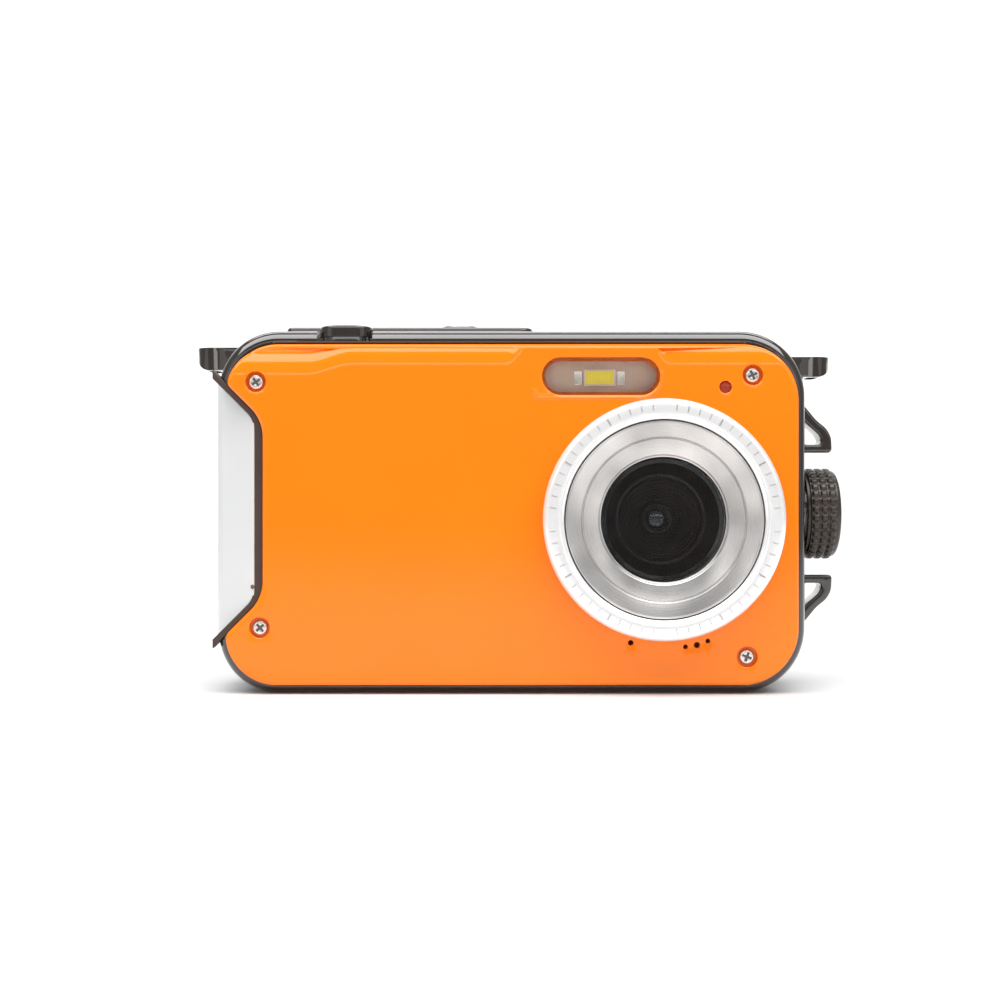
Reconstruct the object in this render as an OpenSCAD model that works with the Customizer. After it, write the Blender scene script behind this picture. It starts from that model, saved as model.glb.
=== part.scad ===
// Compact waterproof camera. Front faces -Y, +Z is up, +X is on the viewer's right.
// The origin is the mouth of the tripod thread in the base.

/* [Body] */
// Width of the frame from side to side
frame_w = 103.8; // [103.4:0.1:104.2]
// Height of the frame from base to top
frame_h = 64; // [63.8:0.1:64.4]
// Depth from the front face to the rear face
body_depth = 27.5; // [27.3:0.1:28]
// Distance from the left side of the frame to the tripod thread
tripod_offset = 54.4; // [54.2:0.1:54.6]
// Wall thickness of frame and covers
wall = 2; // [1.8:0.1:2.1]
// How far the frame stands proud of the front cover at the sides
rim = 1.6; // [1.5:0.1:1.7]
// How far the frame stands proud of the front cover at the top
rim_top = 2.4; // [2.2:0.1:2.6]

/* [Lens] */
// Distance of the lens axis to the right of the tripod thread
lens_x = 23.8; // [23.5:0.1:24]
// Height of the lens axis
lens_z = 30.7; // [30.4:0.1:31]
// Outer radius of the polished lens ring
ring_r = 21; // [20.5:0.1:21.2]
// How far the lens ring stands in front of the front cover
ring_proud = 5; // [4.6:0.1:5.4]
// Radius of the opening inside the lens rings
port_r = 10.8; // [10.6:0.1:11]

/* [Side cover] */
// Height of the lock knob's axis
knob_z = 31.6; // [31.4:0.1:31.8]
// Radius of the lock knob
knob_r = 8.3; // [8:0.1:8.6]
// Height of the side cover
door_h = 44.2; // [44:0.1:44.6]
// Battery size along X, Y and Z
battery = [42, 4.4, 30]; // [4:0.1:42]

/* [Controls] */
// Travel of the shutter button
shutter_travel = 0.8; // [0.5:0.1:1]
// Travel of the power button and the rear keys
key_travel = 0.5; // [0.3:0.1:0.6]

/* [Hidden] */
$fn = 64;
e = 0.05;
gap = 0.1;

// frame
fx0 = -tripod_offset;
fx1 = fx0 + frame_w;
corner_l = 10.7;
corner_r = 11.6;
y_front = -14;
y_back = y_front + body_depth;
y_rim = y_front + 1.8;
y_ledge = y_front + 3.8;
y_split = y_back - 2.9;
y_inner = y_back - 1.6;

// scoop in the left side: a vertical stretch between two arcs, then 45 degree flanks
scoop_x = -53.45;
scoop_z_low = 19.9;
scoop_z_high = 45.1;
scoop_r = 7.2;
trim_w = 1.7;

// grip plate: its front edge, the bend at the side, and the depth of the slant
grip_x = scoop_x + scoop_r - trim_w;
grip_side_x = fx0 - 1.6;
grip_slant = 5.4;
// thickness at the side, and how far the slanting part's back face lies behind its front face
grip_t = 1.5;
grip_back_x = 0.79;
grip_back_y = 1.08;

// screws
screw_head_r = 1.32;
screw_sink_r = 1.8;
screw_r = 0.75;
FRONT_SCREWS = [[-47.4, 54.8], [39.7, 56], [-46.7, 11.7], [38.7, 6.6]];
REAR_SCREWS = [[-45.5, 57.8], [42.5, 57.8], [-45.5, 6.2], [42.5, 6.2]];
BOARD_SCREWS = [[-40, 54], [32, 54.3], [-40, 8], [14, 7.8]];

// lamp window
lamp_x = 13.1;
lamp_z = 55.8;
lamp_r = 3.3;
lamp_half = 7.05;

// holes in the front cover
INDICATOR = [34.9, 53.9];
MIC_HOLE = [18.3, 9.1];
SPEAKER_HOLES = [[27.9, 8.4, 0.4], [29.9, 8.7, 0.52], [31.8, 9.4, 0.4]];

// boards
board_y = 0.6;
board_t = 1;

// side opening
knob_y = 0;
door_y0 = -6.4;
door_y1 = 9.6;
door_z0 = knob_z - door_h / 2;
door_z1 = knob_z + door_h / 2;
door_x0 = fx1 - 1.4;
door_x1 = door_x0 + 2;
// knob, and the screw pressed into it
knob_x0 = door_x1 + 0.55;
knob_x1 = knob_x0 + 6.15;
knob_screw_r = 1.93;
knob_screw_x1 = knob_x1 - 2.1;
side_wall_x = door_x0 - 2.4;
batt_x = 0.8;
batt_y = 3.5;
batt_z = 13.4;
seal_w = 0.9;
insert_r = 2.7;

// top controls
shutter_x = -32;
shutter_y = -8.2;
stem_y = -6.6;
stem_r = 1.6;
dish_floor = frame_h - 1.9;
plate_x0 = -43.4;
plate_x1 = 1.8;
plate_y0 = -3.4;
plate_y1 = 7.6;
plate_t = 1.5;
power_x = -12;
power_y = 2.1;
power_r = 3.2;
switch_top = frame_h - 5.3;

// display
lcd_x0 = -20;
lcd_x1 = 40;
lcd_z0 = 9.5;
lcd_z1 = 54.5;

// rear keys: x, z, radius, half length of the straight stretch
KEYS = [
    ["key_zoom_in", -29.4, 51.5, 2.6, 2], ["key_zoom_out", -41.6, 51.5, 2.6, 2],
    ["key_mode", -35.5, 42, 2.6, 2], ["key_play", -41.6, 32.5, 2.6, 2],
    ["key_menu", -29.4, 32.5, 2.6, 2], ["key_ok", -35.5, 22.5, 3.8, 0],
    ["key_delete", -35.5, 12, 2.6, 2]];

// ---------- helpers ----------

// extrudes an outline given in X and Z between two values of Y
module slab(y0, y1) {
    translate([0, y1, 0])
        rotate([90, 0, 0])
            linear_extrude(y1 - y0)
                children();
}

module block(lo, hi) {
    translate(lo)
        cube(hi - lo);
}

// cylinder along Y
module rod_y(x, z, r, y0, y1) {
    slab(y0, y1)
        translate([x, z])
            circle(r);
}

// cylinder along X
module rod_x(y, z, r, x0, x1) {
    translate([x0, y, z])
        rotate([0, 90, 0])
            cylinder(r = r, h = x1 - x0);
}

module rounded(x0, x1, z0, z1, rl, rr) {
    translate([x0 + rl, z0])
        square([x1 - x0 - rl - rr, z1 - z0]);
    translate([x0, z0 + rl])
        square([rl, z1 - z0 - 2 * rl]);
    translate([x1 - rr, z0 + rr])
        square([rr, z1 - z0 - 2 * rr]);
    for (z = [z0 + rl, z1 - rl])
        translate([x0 + rl, z])
            circle(rl);
    for (z = [z0 + rr, z1 - rr])
        translate([x1 - rr, z])
            circle(rr);
}

module stadium(x, z, r, half) {
    translate([x - half, z - r])
        square([2 * half + 0.001, 2 * r]);
    for (s = [-1, 1])
        translate([x + s * half, z])
            circle(r);
}

function arc(cx, cy, r, a0, a1, steps) =
    [for (i = [0:steps]) let (a = a0 + (a1 - a0) * i / steps) [cx + r * cos(a), cy + r * sin(a)]];

// the space of the scoop, grown into the body by d
module scoop(d) {
    r = scoop_r + d;
    k = r * sqrt(0.5);
    reach = 30;
    steps = 9;
    polygon(concat(
        [[scoop_x + k - reach, scoop_z_low - k - reach]],
        arc(scoop_x, scoop_z_low, r, -45, 0, steps),
        arc(scoop_x, scoop_z_high, r, 0, 45, steps),
        [[scoop_x + k - reach, scoop_z_high + k + reach]]));
}

module frame_outline(inset) {
    rounded(fx0 + inset, fx1 - inset, inset, frame_h - inset, corner_l - inset, corner_r - inset);
}

module cover_outline(inset) {
    d = rim + inset;
    difference() {
        rounded(fx0 + d, fx1 - d, d, frame_h - rim_top - inset, corner_l - d, corner_r - d);
        scoop(inset);
    }
}

// solid of revolution about the lens axis; points are radius and distance in front of the origin
module about_lens(points) {
    translate([lens_x, 0, lens_z])
        rotate([90, 0, 0])
            rotate_extrude()
                polygon(points);
}

module cross_head(depth) {
    for (a = [0, 90])
        rotate([0, 0, a])
            translate([-0.8, -0.17, -depth])
                cube([1.6, 0.34, depth + 1]);
}

// pan head screw along Y; s = -1 puts the head on the front side
module screw(x, y, z, length, s) {
    translate([x, y, z])
        rotate([s < 0 ? 90 : -90, 0, 0])
            difference() {
                union() {
                    cylinder(r = screw_head_r, h = 0.9);
                    translate([0, 0, -length])
                        cylinder(r = screw_r, h = length + e);
                }
                translate([0, 0, 0.9])
                    cross_head(0.5);
            }
}

// ---------- shells ----------

module front_bevel(x0, x1, height, depth) {
    top = frame_h - rim_top;
    translate([x0, 0, 0])
        rotate([90, 0, 90])
            linear_extrude(x1 - x0)
                polygon([
                    [y_front - 1, top - height],
                    [y_front, top - height],
                    [y_front + depth, top],
                    [y_front + depth, top + 1],
                    [y_front - 1, top + 1]]);
}

module front_cover() {
    hood_x0 = lamp_x - 15.2;
    hood_x1 = lamp_x + 10.3;
    color("darkorange")
        difference() {
            slab(y_front, y_ledge)
                cover_outline(0);
            difference() {
                slab(y_front + wall, y_ledge + 1)
                    cover_outline(wall);
                for (p = FRONT_SCREWS)
                    rod_y(p.x, p.y, 2.8, y_front, y_ledge + 2);
                rod_y(lens_x, lens_z, 19.6, y_front, y_ledge);
            }
            front_bevel(-37, hood_x0, 3.5, 1.1);
            front_bevel(fx0, -37, 5.2, 1.1);
            front_bevel(hood_x1, 41, 3.3, 1.1);
            rod_y(lens_x, lens_z, 17.3, y_front - 1, y_ledge + 1);
            slab(y_front - 1, y_front + 1.2)
                stadium(lamp_x, lamp_z, lamp_r, lamp_half);
            slab(y_front, y_front + 3)
                stadium(lamp_x, lamp_z, lamp_r - 0.6, lamp_half);
            for (p = FRONT_SCREWS) {
                rod_y(p.x, p.y, screw_sink_r, y_front - 1, y_front + 1.4);
                rod_y(p.x, p.y, screw_r + 0.2, y_front, y_ledge + 1);
            }
            rod_y(INDICATOR.x, INDICATOR.y, 1.05, y_front - 1, y_front + wall + 1);
            rod_y(MIC_HOLE.x, MIC_HOLE.y, 0.47, y_front - 1, y_front + wall + 1);
            for (p = SPEAKER_HOLES)
                rod_y(p.x, p[1], p[2], y_front - 1, y_front + wall + 1);
        }
}

// strap lug with its slot running up and down, rounded below its tip; side is -1 or 1
module lug(root, tip, z0, z1, side) {
    r = 3;
    y0 = 1;
    y1 = 9;
    c = tip - side * r;
    under = 2.6;
    difference() {
        intersection() {
            translate([0, 0, z0])
                linear_extrude(z1 - z0) {
                    translate([min(c, root), y0])
                        square([abs(root - c), y1 - y0]);
                    translate([min(tip, c), y0 + r])
                        square([r, y1 - y0 - 2 * r]);
                    for (y = [y0 + r, y1 - r])
                        translate([c, y])
                            circle(r);
                }
            slab(y0 - 1, y1 + 1) {
                translate([min(tip, root), z0 + under])
                    square([abs(root - tip), z1 - z0]);
                translate([min(tip - side * under, root), z0 - 1])
                    square([abs(root - tip) - under, z1 - z0 + 1]);
                translate([tip - side * under, z0 + under])
                    circle(under);
            }
        }
        translate([0, 0, z0 - 1])
            linear_extrude(z1 - z0 + 2) {
                translate([c - 1.1, y0 + 2.6])
                    square([2.2, y1 - y0 - 5.2]);
                for (y = [y0 + 2.6, y1 - 2.6])
                    translate([c, y])
                        circle(1.1);
            }
    }
}

// solid bed behind the grip plate, with the step that takes the trim strip
module grip_bed() {
    difference() {
        slab(y_rim, y_rim + 9)
            intersection() {
                frame_outline(0);
                scoop(wall);
            }
        slab(y_rim - 1, y_ledge)
            cover_outline(-gap);
        grip_room();
    }
}

// everything in front of the back face of the grip plate, and the step for the trim strip
module grip_room() {
    intersection() {
        slab(y_front, y_split)
            scoop(0);
        linear_extrude(frame_h)
            polygon([
                [grip_x + 3, y_front], [grip_x + 3, y_rim - 1.2],
                [grip_x + grip_back_x + 0.04, y_rim + grip_back_y + 0.05],
                [grip_side_x + grip_t, y_rim + grip_slant + 1.3], [grip_side_x - 4, y_rim + grip_slant + 1.3],
                [grip_side_x - 4, y_front]]);
    }
    slab(y_front, y_rim + 3.5)
        difference() {
            scoop(0);
            scoop(-trim_w - 0.05);
        }
}

module post(x, z, r, y0, y1, z_wall) {
    rod_y(x, z, r, y0, y1);
    block([x - 1, y0, min(z, z_wall)], [x + 1, y1, max(z, z_wall)]);
}

module mid_frame() {
    top = frame_h - 1;
    color("#2a2624")
        difference() {
            union() {
                difference() {
                    slab(y_rim, y_split)
                        frame_outline(0);
                    slab(y_rim - 1, y_ledge)
                        cover_outline(-gap);
                    slab(y_ledge - 1, y_ledge + 1.8)
                        cover_outline(wall);
                    slab(y_ledge + 1.7, y_split + 1)
                        frame_outline(wall);
                    grip_room();
                }
                grip_bed();
                // wall behind the side cover
                block([side_wall_x, y_ledge + 1, door_z0 - 2.4], [fx1 - 1, y_split, door_z1 + 2.4]);
                // floor of the shutter dish
                block([shutter_x - 6.5, y_ledge + 1, dish_floor - 2.4], [shutter_x + 6.5, -2.4, top]);
                for (p = FRONT_SCREWS)
                    post(p.x, p.y, 2.6, y_ledge, -3, p.y > 30 ? top : 1);
                for (p = REAR_SCREWS)
                    post(p.x, p.y, 2.4, 4, y_split, p.y > 30 ? top : 1);
                for (p = BOARD_SCREWS)
                    post(p.x, p.y, 2, board_y + board_t, board_y + board_t + 4, p.y > 30 ? top : 1);
                lug(-48.8, -60.7, 58, 62.2, -1);
                lug(45.6, 56.5, 56.8, 60.5, 1);
                slab(3, 7)
                    polygon([[fx1 - 0.6, 54.4], [fx1 + 1, 55.2], [fx1 + 2.4, 57], [fx1 - 0.6, 57]]);
                cylinder(r = 6, h = 7.5);
            }
            side_recess();
            top_dish();
            // seat of the tripod bush
            translate([0, 0, -1])
                cylinder(r = 4.2, h = 10);
            // gasket grooves
            slab(y_ledge, y_ledge + 0.6)
                difference() {
                    cover_outline(0.5);
                    cover_outline(1.5);
                }
            slab(y_split - 0.6, y_split + 1)
                difference() {
                    frame_outline(0.6);
                    frame_outline(1.4);
                }
            for (p = FRONT_SCREWS)
                rod_y(p.x, p.y, screw_r, y_ledge - 1, -5);
            for (p = REAR_SCREWS)
                rod_y(p.x, p.y, screw_r, 6, y_split + 1);
            for (p = BOARD_SCREWS)
                rod_y(p.x, p.y, screw_r, board_y, board_y + board_t + 3);
            // passage for the power button's stem
            translate([power_x, power_y, frame_h - 6])
                cylinder(r = stem_r + gap, h = 8);
        }
}

module side_recess() {
    block([door_x0, door_y0 - gap, door_z0 - gap], [fx1 + 1, door_y1 + gap, door_z1 + gap]);
    // groove for the seal
    translate([door_x0 - 0.8, 0, 0])
        rotate([90, 0, 90])
            linear_extrude(1)
                seal_outline(gap);
    // battery, card, USB and lock screw openings
    block([side_wall_x - 1, batt_y - 0.3, batt_z - 0.3],
        [door_x0 + 1, batt_y + battery.y + 0.3, batt_z + battery.z + 0.3]);
    block([side_wall_x - 1, -1.8, 38.6], [door_x0 + 1, -0.2, 50.4]);
    block([side_wall_x - 1, -2.9, 15.8], [door_x0 + 1, 0.3, 24.2]);
    rod_x(knob_y, knob_z, insert_r, side_wall_x - 1, door_x0 + 1);
}

module seal_outline(grow) {
    z0 = door_z0 + 1;
    z1 = door_z1 - 1;
    difference() {
        translate([door_y0 + 1 - grow, z0 - grow])
            square([door_y1 - door_y0 - 1.4 + 2 * grow, z1 - z0 + 2 * grow]);
        translate([door_y0 + 1 + seal_w + grow, z0 + seal_w + grow])
            square([door_y1 - door_y0 - 1.4 - 2 * seal_w - 2 * grow, z1 - z0 - 2 * seal_w - 2 * grow]);
    }
}

// dish round the shutter button, open to the front
module top_dish() {
    translate([0, 0, dish_floor])
        linear_extrude(4) {
            translate([shutter_x, shutter_y])
                stadium(0, 0, 4.3, 1.4);
            translate([shutter_x - 4.9, y_rim - 1])
                square([9.8, 3.2]);
        }
    translate([shutter_x, stem_y, frame_h - 6])
        cylinder(r = stem_r + gap, h = 7);
}

module rear_cover() {
    color("#262322")
        difference() {
            union() {
                difference() {
                    slab(y_split, y_back)
                        frame_outline(0.3);
                    slab(y_split - 1, y_inner)
                        frame_outline(wall);
                }
                for (p = REAR_SCREWS)
                    rod_y(p.x, p.y, 2.4, y_split, y_back - 1);
            }
            for (p = REAR_SCREWS) {
                rod_y(p.x, p.y, screw_sink_r, y_back - 1.2, y_back + 1);
                rod_y(p.x, p.y, screw_r + 0.2, y_split - 1, y_back);
            }
            // display window seat and opening
            block([lcd_x0, y_back - 1, lcd_z0], [lcd_x1, y_back + 1, lcd_z1]);
            block([lcd_x0 + 2, y_inner - 1, lcd_z0 + 2], [lcd_x1 - 2, y_back, lcd_z1 - 2]);
            for (k = KEYS)
                slab(y_inner - 1, y_back + 1)
                    stadium(k[1], k[2], k[3] + gap, k[4]);
        }
}

module front_gasket() {
    color("#3a3a3a")
        slab(y_ledge, y_ledge + 0.6)
            difference() {
                cover_outline(0.6);
                cover_outline(1.4);
            }
}

module rear_gasket() {
    color("#3a3a3a")
        slab(y_split - 0.6, y_split)
            difference() {
                frame_outline(0.7);
                frame_outline(1.3);
            }
}

// plate that closes the scoop: slants back from the front edge, then runs along the side
module grip_plate() {
    y_bend = y_rim + grip_slant;
    color("#d9d9d9")
        intersection() {
            slab(y_front, y_split)
                scoop(-trim_w - 0.1);
            translate([0, 0, 5])
                linear_extrude(54)
                    polygon([
                        [grip_x, y_rim], [grip_side_x + 0.7, y_bend], [grip_side_x, y_bend + 1.2],
                        [grip_side_x, y_split - 1], [fx0 - 0.05, y_split - 1],
                        [fx0 - 0.05, y_bend + 1.3], [grip_side_x + grip_t, y_bend + 1.2],
                        [grip_x + grip_back_x, y_rim + grip_back_y]]);
        }
}

// trim strip that follows the scoop and ends in two small tabs
module grip_trim() {
    color("#4a342c")
        intersection() {
            slab(y_rim, y_rim + 3.4)
                difference() {
                    scoop(-0.02);
                    scoop(-trim_w);
                }
            block([fx0 - 1, y_front, 4], [0, 0, frame_h]);
        }
}

// ---------- lens ----------

module lens_trim_ring() {
    front = -y_front + ring_proud;
    color("#e8e8e8")
        about_lens([
            [17.35, -y_front], [ring_r - 0.2, -y_front], [ring_r, 14.6], [ring_r, front - 0.4],
            [ring_r - 0.4, front], [17.65, front], [17.35, front - 0.3]]);
}

module lens_inner_ring() {
    color("#c9c9c9")
        about_lens([
            [port_r + 0.1, 13], [15.2, 13], [15.2, 10.6], [17.1, 10.6], [17.1, 18.4], [14.3, 17.5],
            [14.3, 17.2], [14, 17.2], [11.2, 16.6], [port_r + 0.1, 16.4]]);
}

module port_window() {
    color("#dfe8ec")
        about_lens([[0, 14.9], [port_r - 0.1, 14.9], [port_r - 0.1, 16], [0, 16]]);
}

module port_seal() {
    color("#333333")
        about_lens([[9.9, 14.7], [10.6, 14.7], [10.6, 14.9], [9.9, 14.9]]);
}

module lens_well() {
    color("#1b1b1b")
        about_lens([
            [2.6, 4.5], [5.2, 4.5], [port_r - 0.1, 9], [port_r - 0.1, 10.8], [15, 10.8], [15, 12.8],
            [port_r - 0.1, 12.8], [port_r - 0.1, 14.7], [9.7, 14.7], [9.4, 13.4], [8.8, 13.4], [8.4, 11.8],
            [7.8, 11.8], [7.5, 10.2], [6.4, 10.2], [6, 8.8], [5.2, 8.8], [4.9, 7.4], [4.1, 7.4],
            [3.8, 6.2], [3.1, 6.2], [2.9, 5.2]]);
}

module lens_cell() {
    color("#202020")
        about_lens([
            [1.2, 1], [3.4, 1], [3.4, 4.4], [2.3, 4.4], [1.86, 4.2], [1.86, 3.5], [1.2, 3.5], [1.2, 2.9],
            [2.2, 2.9], [2.2, 1.6], [1.2, 1.6]]);
}

module front_lens() {
    color("#5a6f80")
        about_lens([[0, 3.55], [1.8, 3.55], [1.8, 4], [1.3, 4.25], [0.7, 4.4], [0, 4.45]]);
}

module rear_lens() {
    color("#7d93a3")
        about_lens([[0, 1.7], [2.15, 1.7], [2.15, 2.8], [0, 2.8]]);
}

module lens_holder() {
    color("#252525")
        difference() {
            union() {
                block([lens_x - 6.5, -2.2, lens_z - 6.5], [lens_x + 6.5, board_y, lens_z + 6.5]);
                rod_y(lens_x, lens_z, 4.8, -4.2, 0);
            }
            rod_y(lens_x, lens_z, 3.45, -5, -0.8);
            block([lens_x - 3.6, -1, lens_z - 3.6], [lens_x + 3.6, 2, lens_z + 3.6]);
        }
}

module image_sensor() {
    color("#2d4a3a")
        block([lens_x - 3.4, board_y - 0.9, lens_z - 3.4], [lens_x + 3.4, board_y, lens_z + 3.4]);
}

// ---------- boards and electrics ----------

module main_board() {
    color("#1f6b3a")
        difference() {
            block([-43, board_y, 5.5], [side_wall_x - 0.3, board_y + board_t, 56.8]);
            block([-6.6, 0, 4], [6.6, 3, 8.2]);
            for (p = BOARD_SCREWS)
                rod_y(p.x, p.y, screw_r + 0.15, 0, 3);
            block([side_wall_x - 3.2, -1, knob_z - 3.6], [side_wall_x, 3, knob_z + 3.6]);
        }
}

module lamp_window() {
    color("#d8d4cc")
        slab(y_front + 0.4, y_front + 1.2)
            stadium(lamp_x, lamp_z, lamp_r - gap, lamp_half);
}

module lamp_led() {
    color("#e6d21f")
        block([lamp_x - 2.85, y_front + 3.8, lamp_z - 1.5], [lamp_x + 2.85, y_front + 4.8, lamp_z + 1.5]);
}

module lamp_board() {
    color("#f0f0ea")
        block([lamp_x - 8.5, y_front + 4.8, lamp_z - 3.6], [lamp_x + 8.5, y_front + 5.6, lamp_z + 3.6]);
}

module indicator_lens() {
    color("#8c3a20")
        rod_y(INDICATOR.x, INDICATOR.y, 1, y_front + 0.2, y_front + wall + 0.6);
}

module front_screws() {
    color("silver")
        for (p = FRONT_SCREWS)
            screw(p.x, y_front + 1.4, p.y, 7, -1);
}

module rear_screws() {
    color("silver")
        for (p = REAR_SCREWS)
            screw(p.x, y_back - 1.2, p.y, 5.5, 1);
}

module board_screws() {
    color("silver")
        for (p = BOARD_SCREWS)
            screw(p.x, board_y, p.y, 3.5, -1);
}

module tripod_bush() {
    color("#b08d57")
        difference() {
            cylinder(r = 4.15, h = 7.5);
            translate([0, 0, -1])
                cylinder(r = 3.25, h = 7);
        }
}

module lcd_window() {
    color("#15181c")
        block([lcd_x0 + gap, y_back - 1, lcd_z0 + gap], [lcd_x1 - gap, y_back - 0.1, lcd_z1 - gap]);
}

module lcd_panel() {
    color("#0d1014")
        block([lcd_x0 + 1.5, y_inner - 1, lcd_z0 + 1], [lcd_x1 - 1.5, y_inner - 0.1, lcd_z1 - 1]);
}

module lcd_frame() {
    color("#b9bcc0")
        difference() {
            block([lcd_x0 + 0.8, y_inner - 2.6, lcd_z0 + 0.4], [lcd_x1 - 0.8, y_inner - 0.4, lcd_z1 - 0.4]);
            block([lcd_x0 + 1.4, y_inner - 1, lcd_z0 + 0.9], [lcd_x1 - 1.4, y_back, lcd_z1 - 0.9]);
        }
}

module key_board() {
    color("#1f6b3a")
        block([-46, 8.3, 9], [-22.5, 9.1, 55]);
}

module key_switches() {
    color("#c9c9c9")
        for (k = KEYS)
            rod_y(k[1], k[2], 1.7, 9.1, 9.6);
}

module key_seal() {
    color("#3a3a3a")
        block([-46, 9.8, 9], [-22.5, 10.3, 55]);
}

module top_plate() {
    color("#3b3431")
        difference() {
            translate([0, plate_y1, 0])
                rotate([90, 0, 0])
                    linear_extrude(plate_y1 - plate_y0)
                        polygon([
                            [plate_x0, frame_h], [plate_x1, frame_h], [plate_x1 - 2.4, frame_h + plate_t],
                            [plate_x0 + 0.3, frame_h + plate_t]]);
            translate([power_x, power_y, frame_h + 0.3])
                cylinder(r = power_r + gap, h = 3);
            translate([power_x, power_y, frame_h - 1])
                cylinder(r = stem_r + gap, h = 3);
        }
}

module top_board() {
    color("#1f6b3a")
        block([-37, -11, switch_top - 1.3], [-6, 4, switch_top - 0.6]);
}

module top_switches() {
    color("#c9c9c9")
        for (p = [[shutter_x, stem_y], [power_x, power_y]])
            translate([p.x, p.y, switch_top - 0.6])
                cylinder(r = 1.6, h = 0.6);
}

module battery_box() {
    z0 = batt_z;
    z1 = batt_z + battery.z;
    y1 = batt_y + battery.y;
    color("#2f2f2f")
        difference() {
            block([batt_x - 2.4, batt_y - 0.75, z0 - 1], [side_wall_x - 0.2, y1 + 0.6, z1 + 1]);
            block([batt_x - 1.6, batt_y - 0.15, z0 - 0.2], [side_wall_x + 1, y1 + 0.15, z1 + 0.2]);
        }
}

module battery() {
    color("#3b5f8a")
        difference() {
            translate([batt_x, batt_y, batt_z])
                cube(battery);
            for (z = [8, 15, 22])
                block([batt_x - 1, batt_y + 1.2, batt_z + z - 1.4], [batt_x + 0.4, batt_y + 3.2, batt_z + z + 1.4]);
        }
}

module battery_contacts() {
    color("#c8a24a")
        for (z = [8, 15, 22])
            block([batt_x - 1.6, batt_y + 1.5, batt_z + z - 1], [batt_x, batt_y + 2.9, batt_z + z + 1]);
}

module card_socket() {
    color("#b9bcc0")
        difference() {
            block([side_wall_x - 14, -1.6, 38.2], [side_wall_x - 0.2, board_y, 50.8]);
            block([side_wall_x - 13.4, -1.35, 38.9], [side_wall_x, -0.5, 50.1]);
        }
}

module memory_card() {
    color("#1c1c1c")
        block([side_wall_x - 13.3, -1.3, 39], [side_wall_x + 1.7, -0.6, 50]);
}

module usb_socket() {
    color("#b9bcc0")
        difference() {
            block([side_wall_x - 5.6, -2.2, 16.2], [side_wall_x - 0.2, board_y, 23.8]);
            difference() {
                block([side_wall_x - 5.2, -1.8, 16.6], [side_wall_x, 0.2, 23.4]);
                block([side_wall_x - 6, -1.1, 17.6], [side_wall_x - 1, -0.5, 22.4]);
            }
        }
}

module speaker() {
    color("#2a2a2a")
        rod_y(SPEAKER_HOLES[1].x, 8.7, 3.1, y_front + wall + e, y_front + wall + 2.4);
}

module microphone() {
    color("#c9c9c9")
        rod_y(MIC_HOLE.x, MIC_HOLE.y, 1.8, y_front + wall + e, y_front + wall + 1.6);
}

// ---------- side cover and lock ----------

module screw_insert() {
    color("#b08d57")
        difference() {
            rod_x(knob_y, knob_z, insert_r - 0.02, side_wall_x - 2.6, door_x0);
            rod_x(knob_y, knob_z, 2.06, side_wall_x - 3, door_x0 + 1);
        }
}

// triangular loop on the side cover; s = 1 is the upper one
module loop(s) {
    z = 11.1;
    translate([0, 0, knob_z])
        slab(-2.6, 2.6)
            difference() {
                polygon([
                    [door_x1 - 0.2, s * z], [door_x1 - 0.2, s * 19.8], [door_x1 + 1.7, s * 18.7],
                    [door_x1 + 3, s * 17], [door_x1 + 4.9, s * 15.5], [door_x1 + 5.7, s * 14.2],
                    [door_x1 + 5.9, s * 11.8], [door_x1 + 5.5, s * z]]);
                polygon([
                    [door_x1 + 0.9, s * 12.6], [door_x1 + 0.9, s * 16.9], [door_x1 + 2, s * 16.4],
                    [door_x1 + 3.9, s * 14.6], [door_x1 + 4.3, s * 12.6]]);
            }
}

module side_cover() {
    color("#2a2624")
        difference() {
            union() {
                block([door_x0 + e, door_y0, door_z0], [door_x1, door_y1, door_z1]);
                for (s = [-1, 1])
                    loop(s);
            }
            rod_x(knob_y, knob_z, 2.2, door_x0 - 1, door_x1 + 1);
        }
}

module side_cover_seal() {
    color("#3a3a3a")
        translate([door_x0 - 0.7, 0, 0])
            rotate([90, 0, 90])
                linear_extrude(0.7 + e)
                    seal_outline(0);
}

module knob_washer() {
    color("#8d9094")
        difference() {
            rod_x(knob_y, knob_z, 5.4, door_x1 + 0.03, door_x1 + 0.5);
            rod_x(knob_y, knob_z, 2.1, door_x1 - 1, door_x1 + 1);
        }
}

module lock_knob() {
    rows = 3;
    teeth = 36;
    row_w = (knob_x1 - knob_x0 - 2.2) / rows;
    color("#201d1c")
        difference() {
            union() {
                rod_x(knob_y, knob_z, knob_r - 0.9, knob_x0, knob_x0 + 1.1);
                rod_x(knob_y, knob_z, knob_r - 0.4, knob_x0 + 1, knob_x1);
            }
            // dished outer face, and the blind hole the screw is pressed into
            rod_x(knob_y, knob_z, knob_r - 2.4, knob_x1 - 0.8, knob_x1 + 1);
            rod_x(knob_y, knob_z, knob_screw_r + 0.02, knob_x0 - 1, knob_screw_x1 + 0.1);
        }
    color("#201d1c")
        for (row = [0:rows - 1])
            translate([knob_x0 + 1.6 + row * row_w, knob_y, knob_z])
                rotate([0, 90, 0])
                    rotate([0, 0, row % 2 * 180 / teeth])
                        knurl_row(teeth, row_w * 0.72);
}

// one row of square teeth round the knob
module knurl_row(teeth, w) {
    tooth = 2 * PI * knob_r / teeth * 0.6;
    for (i = [0:teeth - 1])
        rotate([0, 0, i * 360 / teeth])
            translate([knob_r - 0.6, -tooth / 2, 0])
                cube([0.6, tooth, w]);
}

module knob_screw() {
    color("silver")
        rod_x(knob_y, knob_z, knob_screw_r, side_wall_x - 2.2, knob_screw_x1);
}

// ---------- buttons ----------

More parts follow.
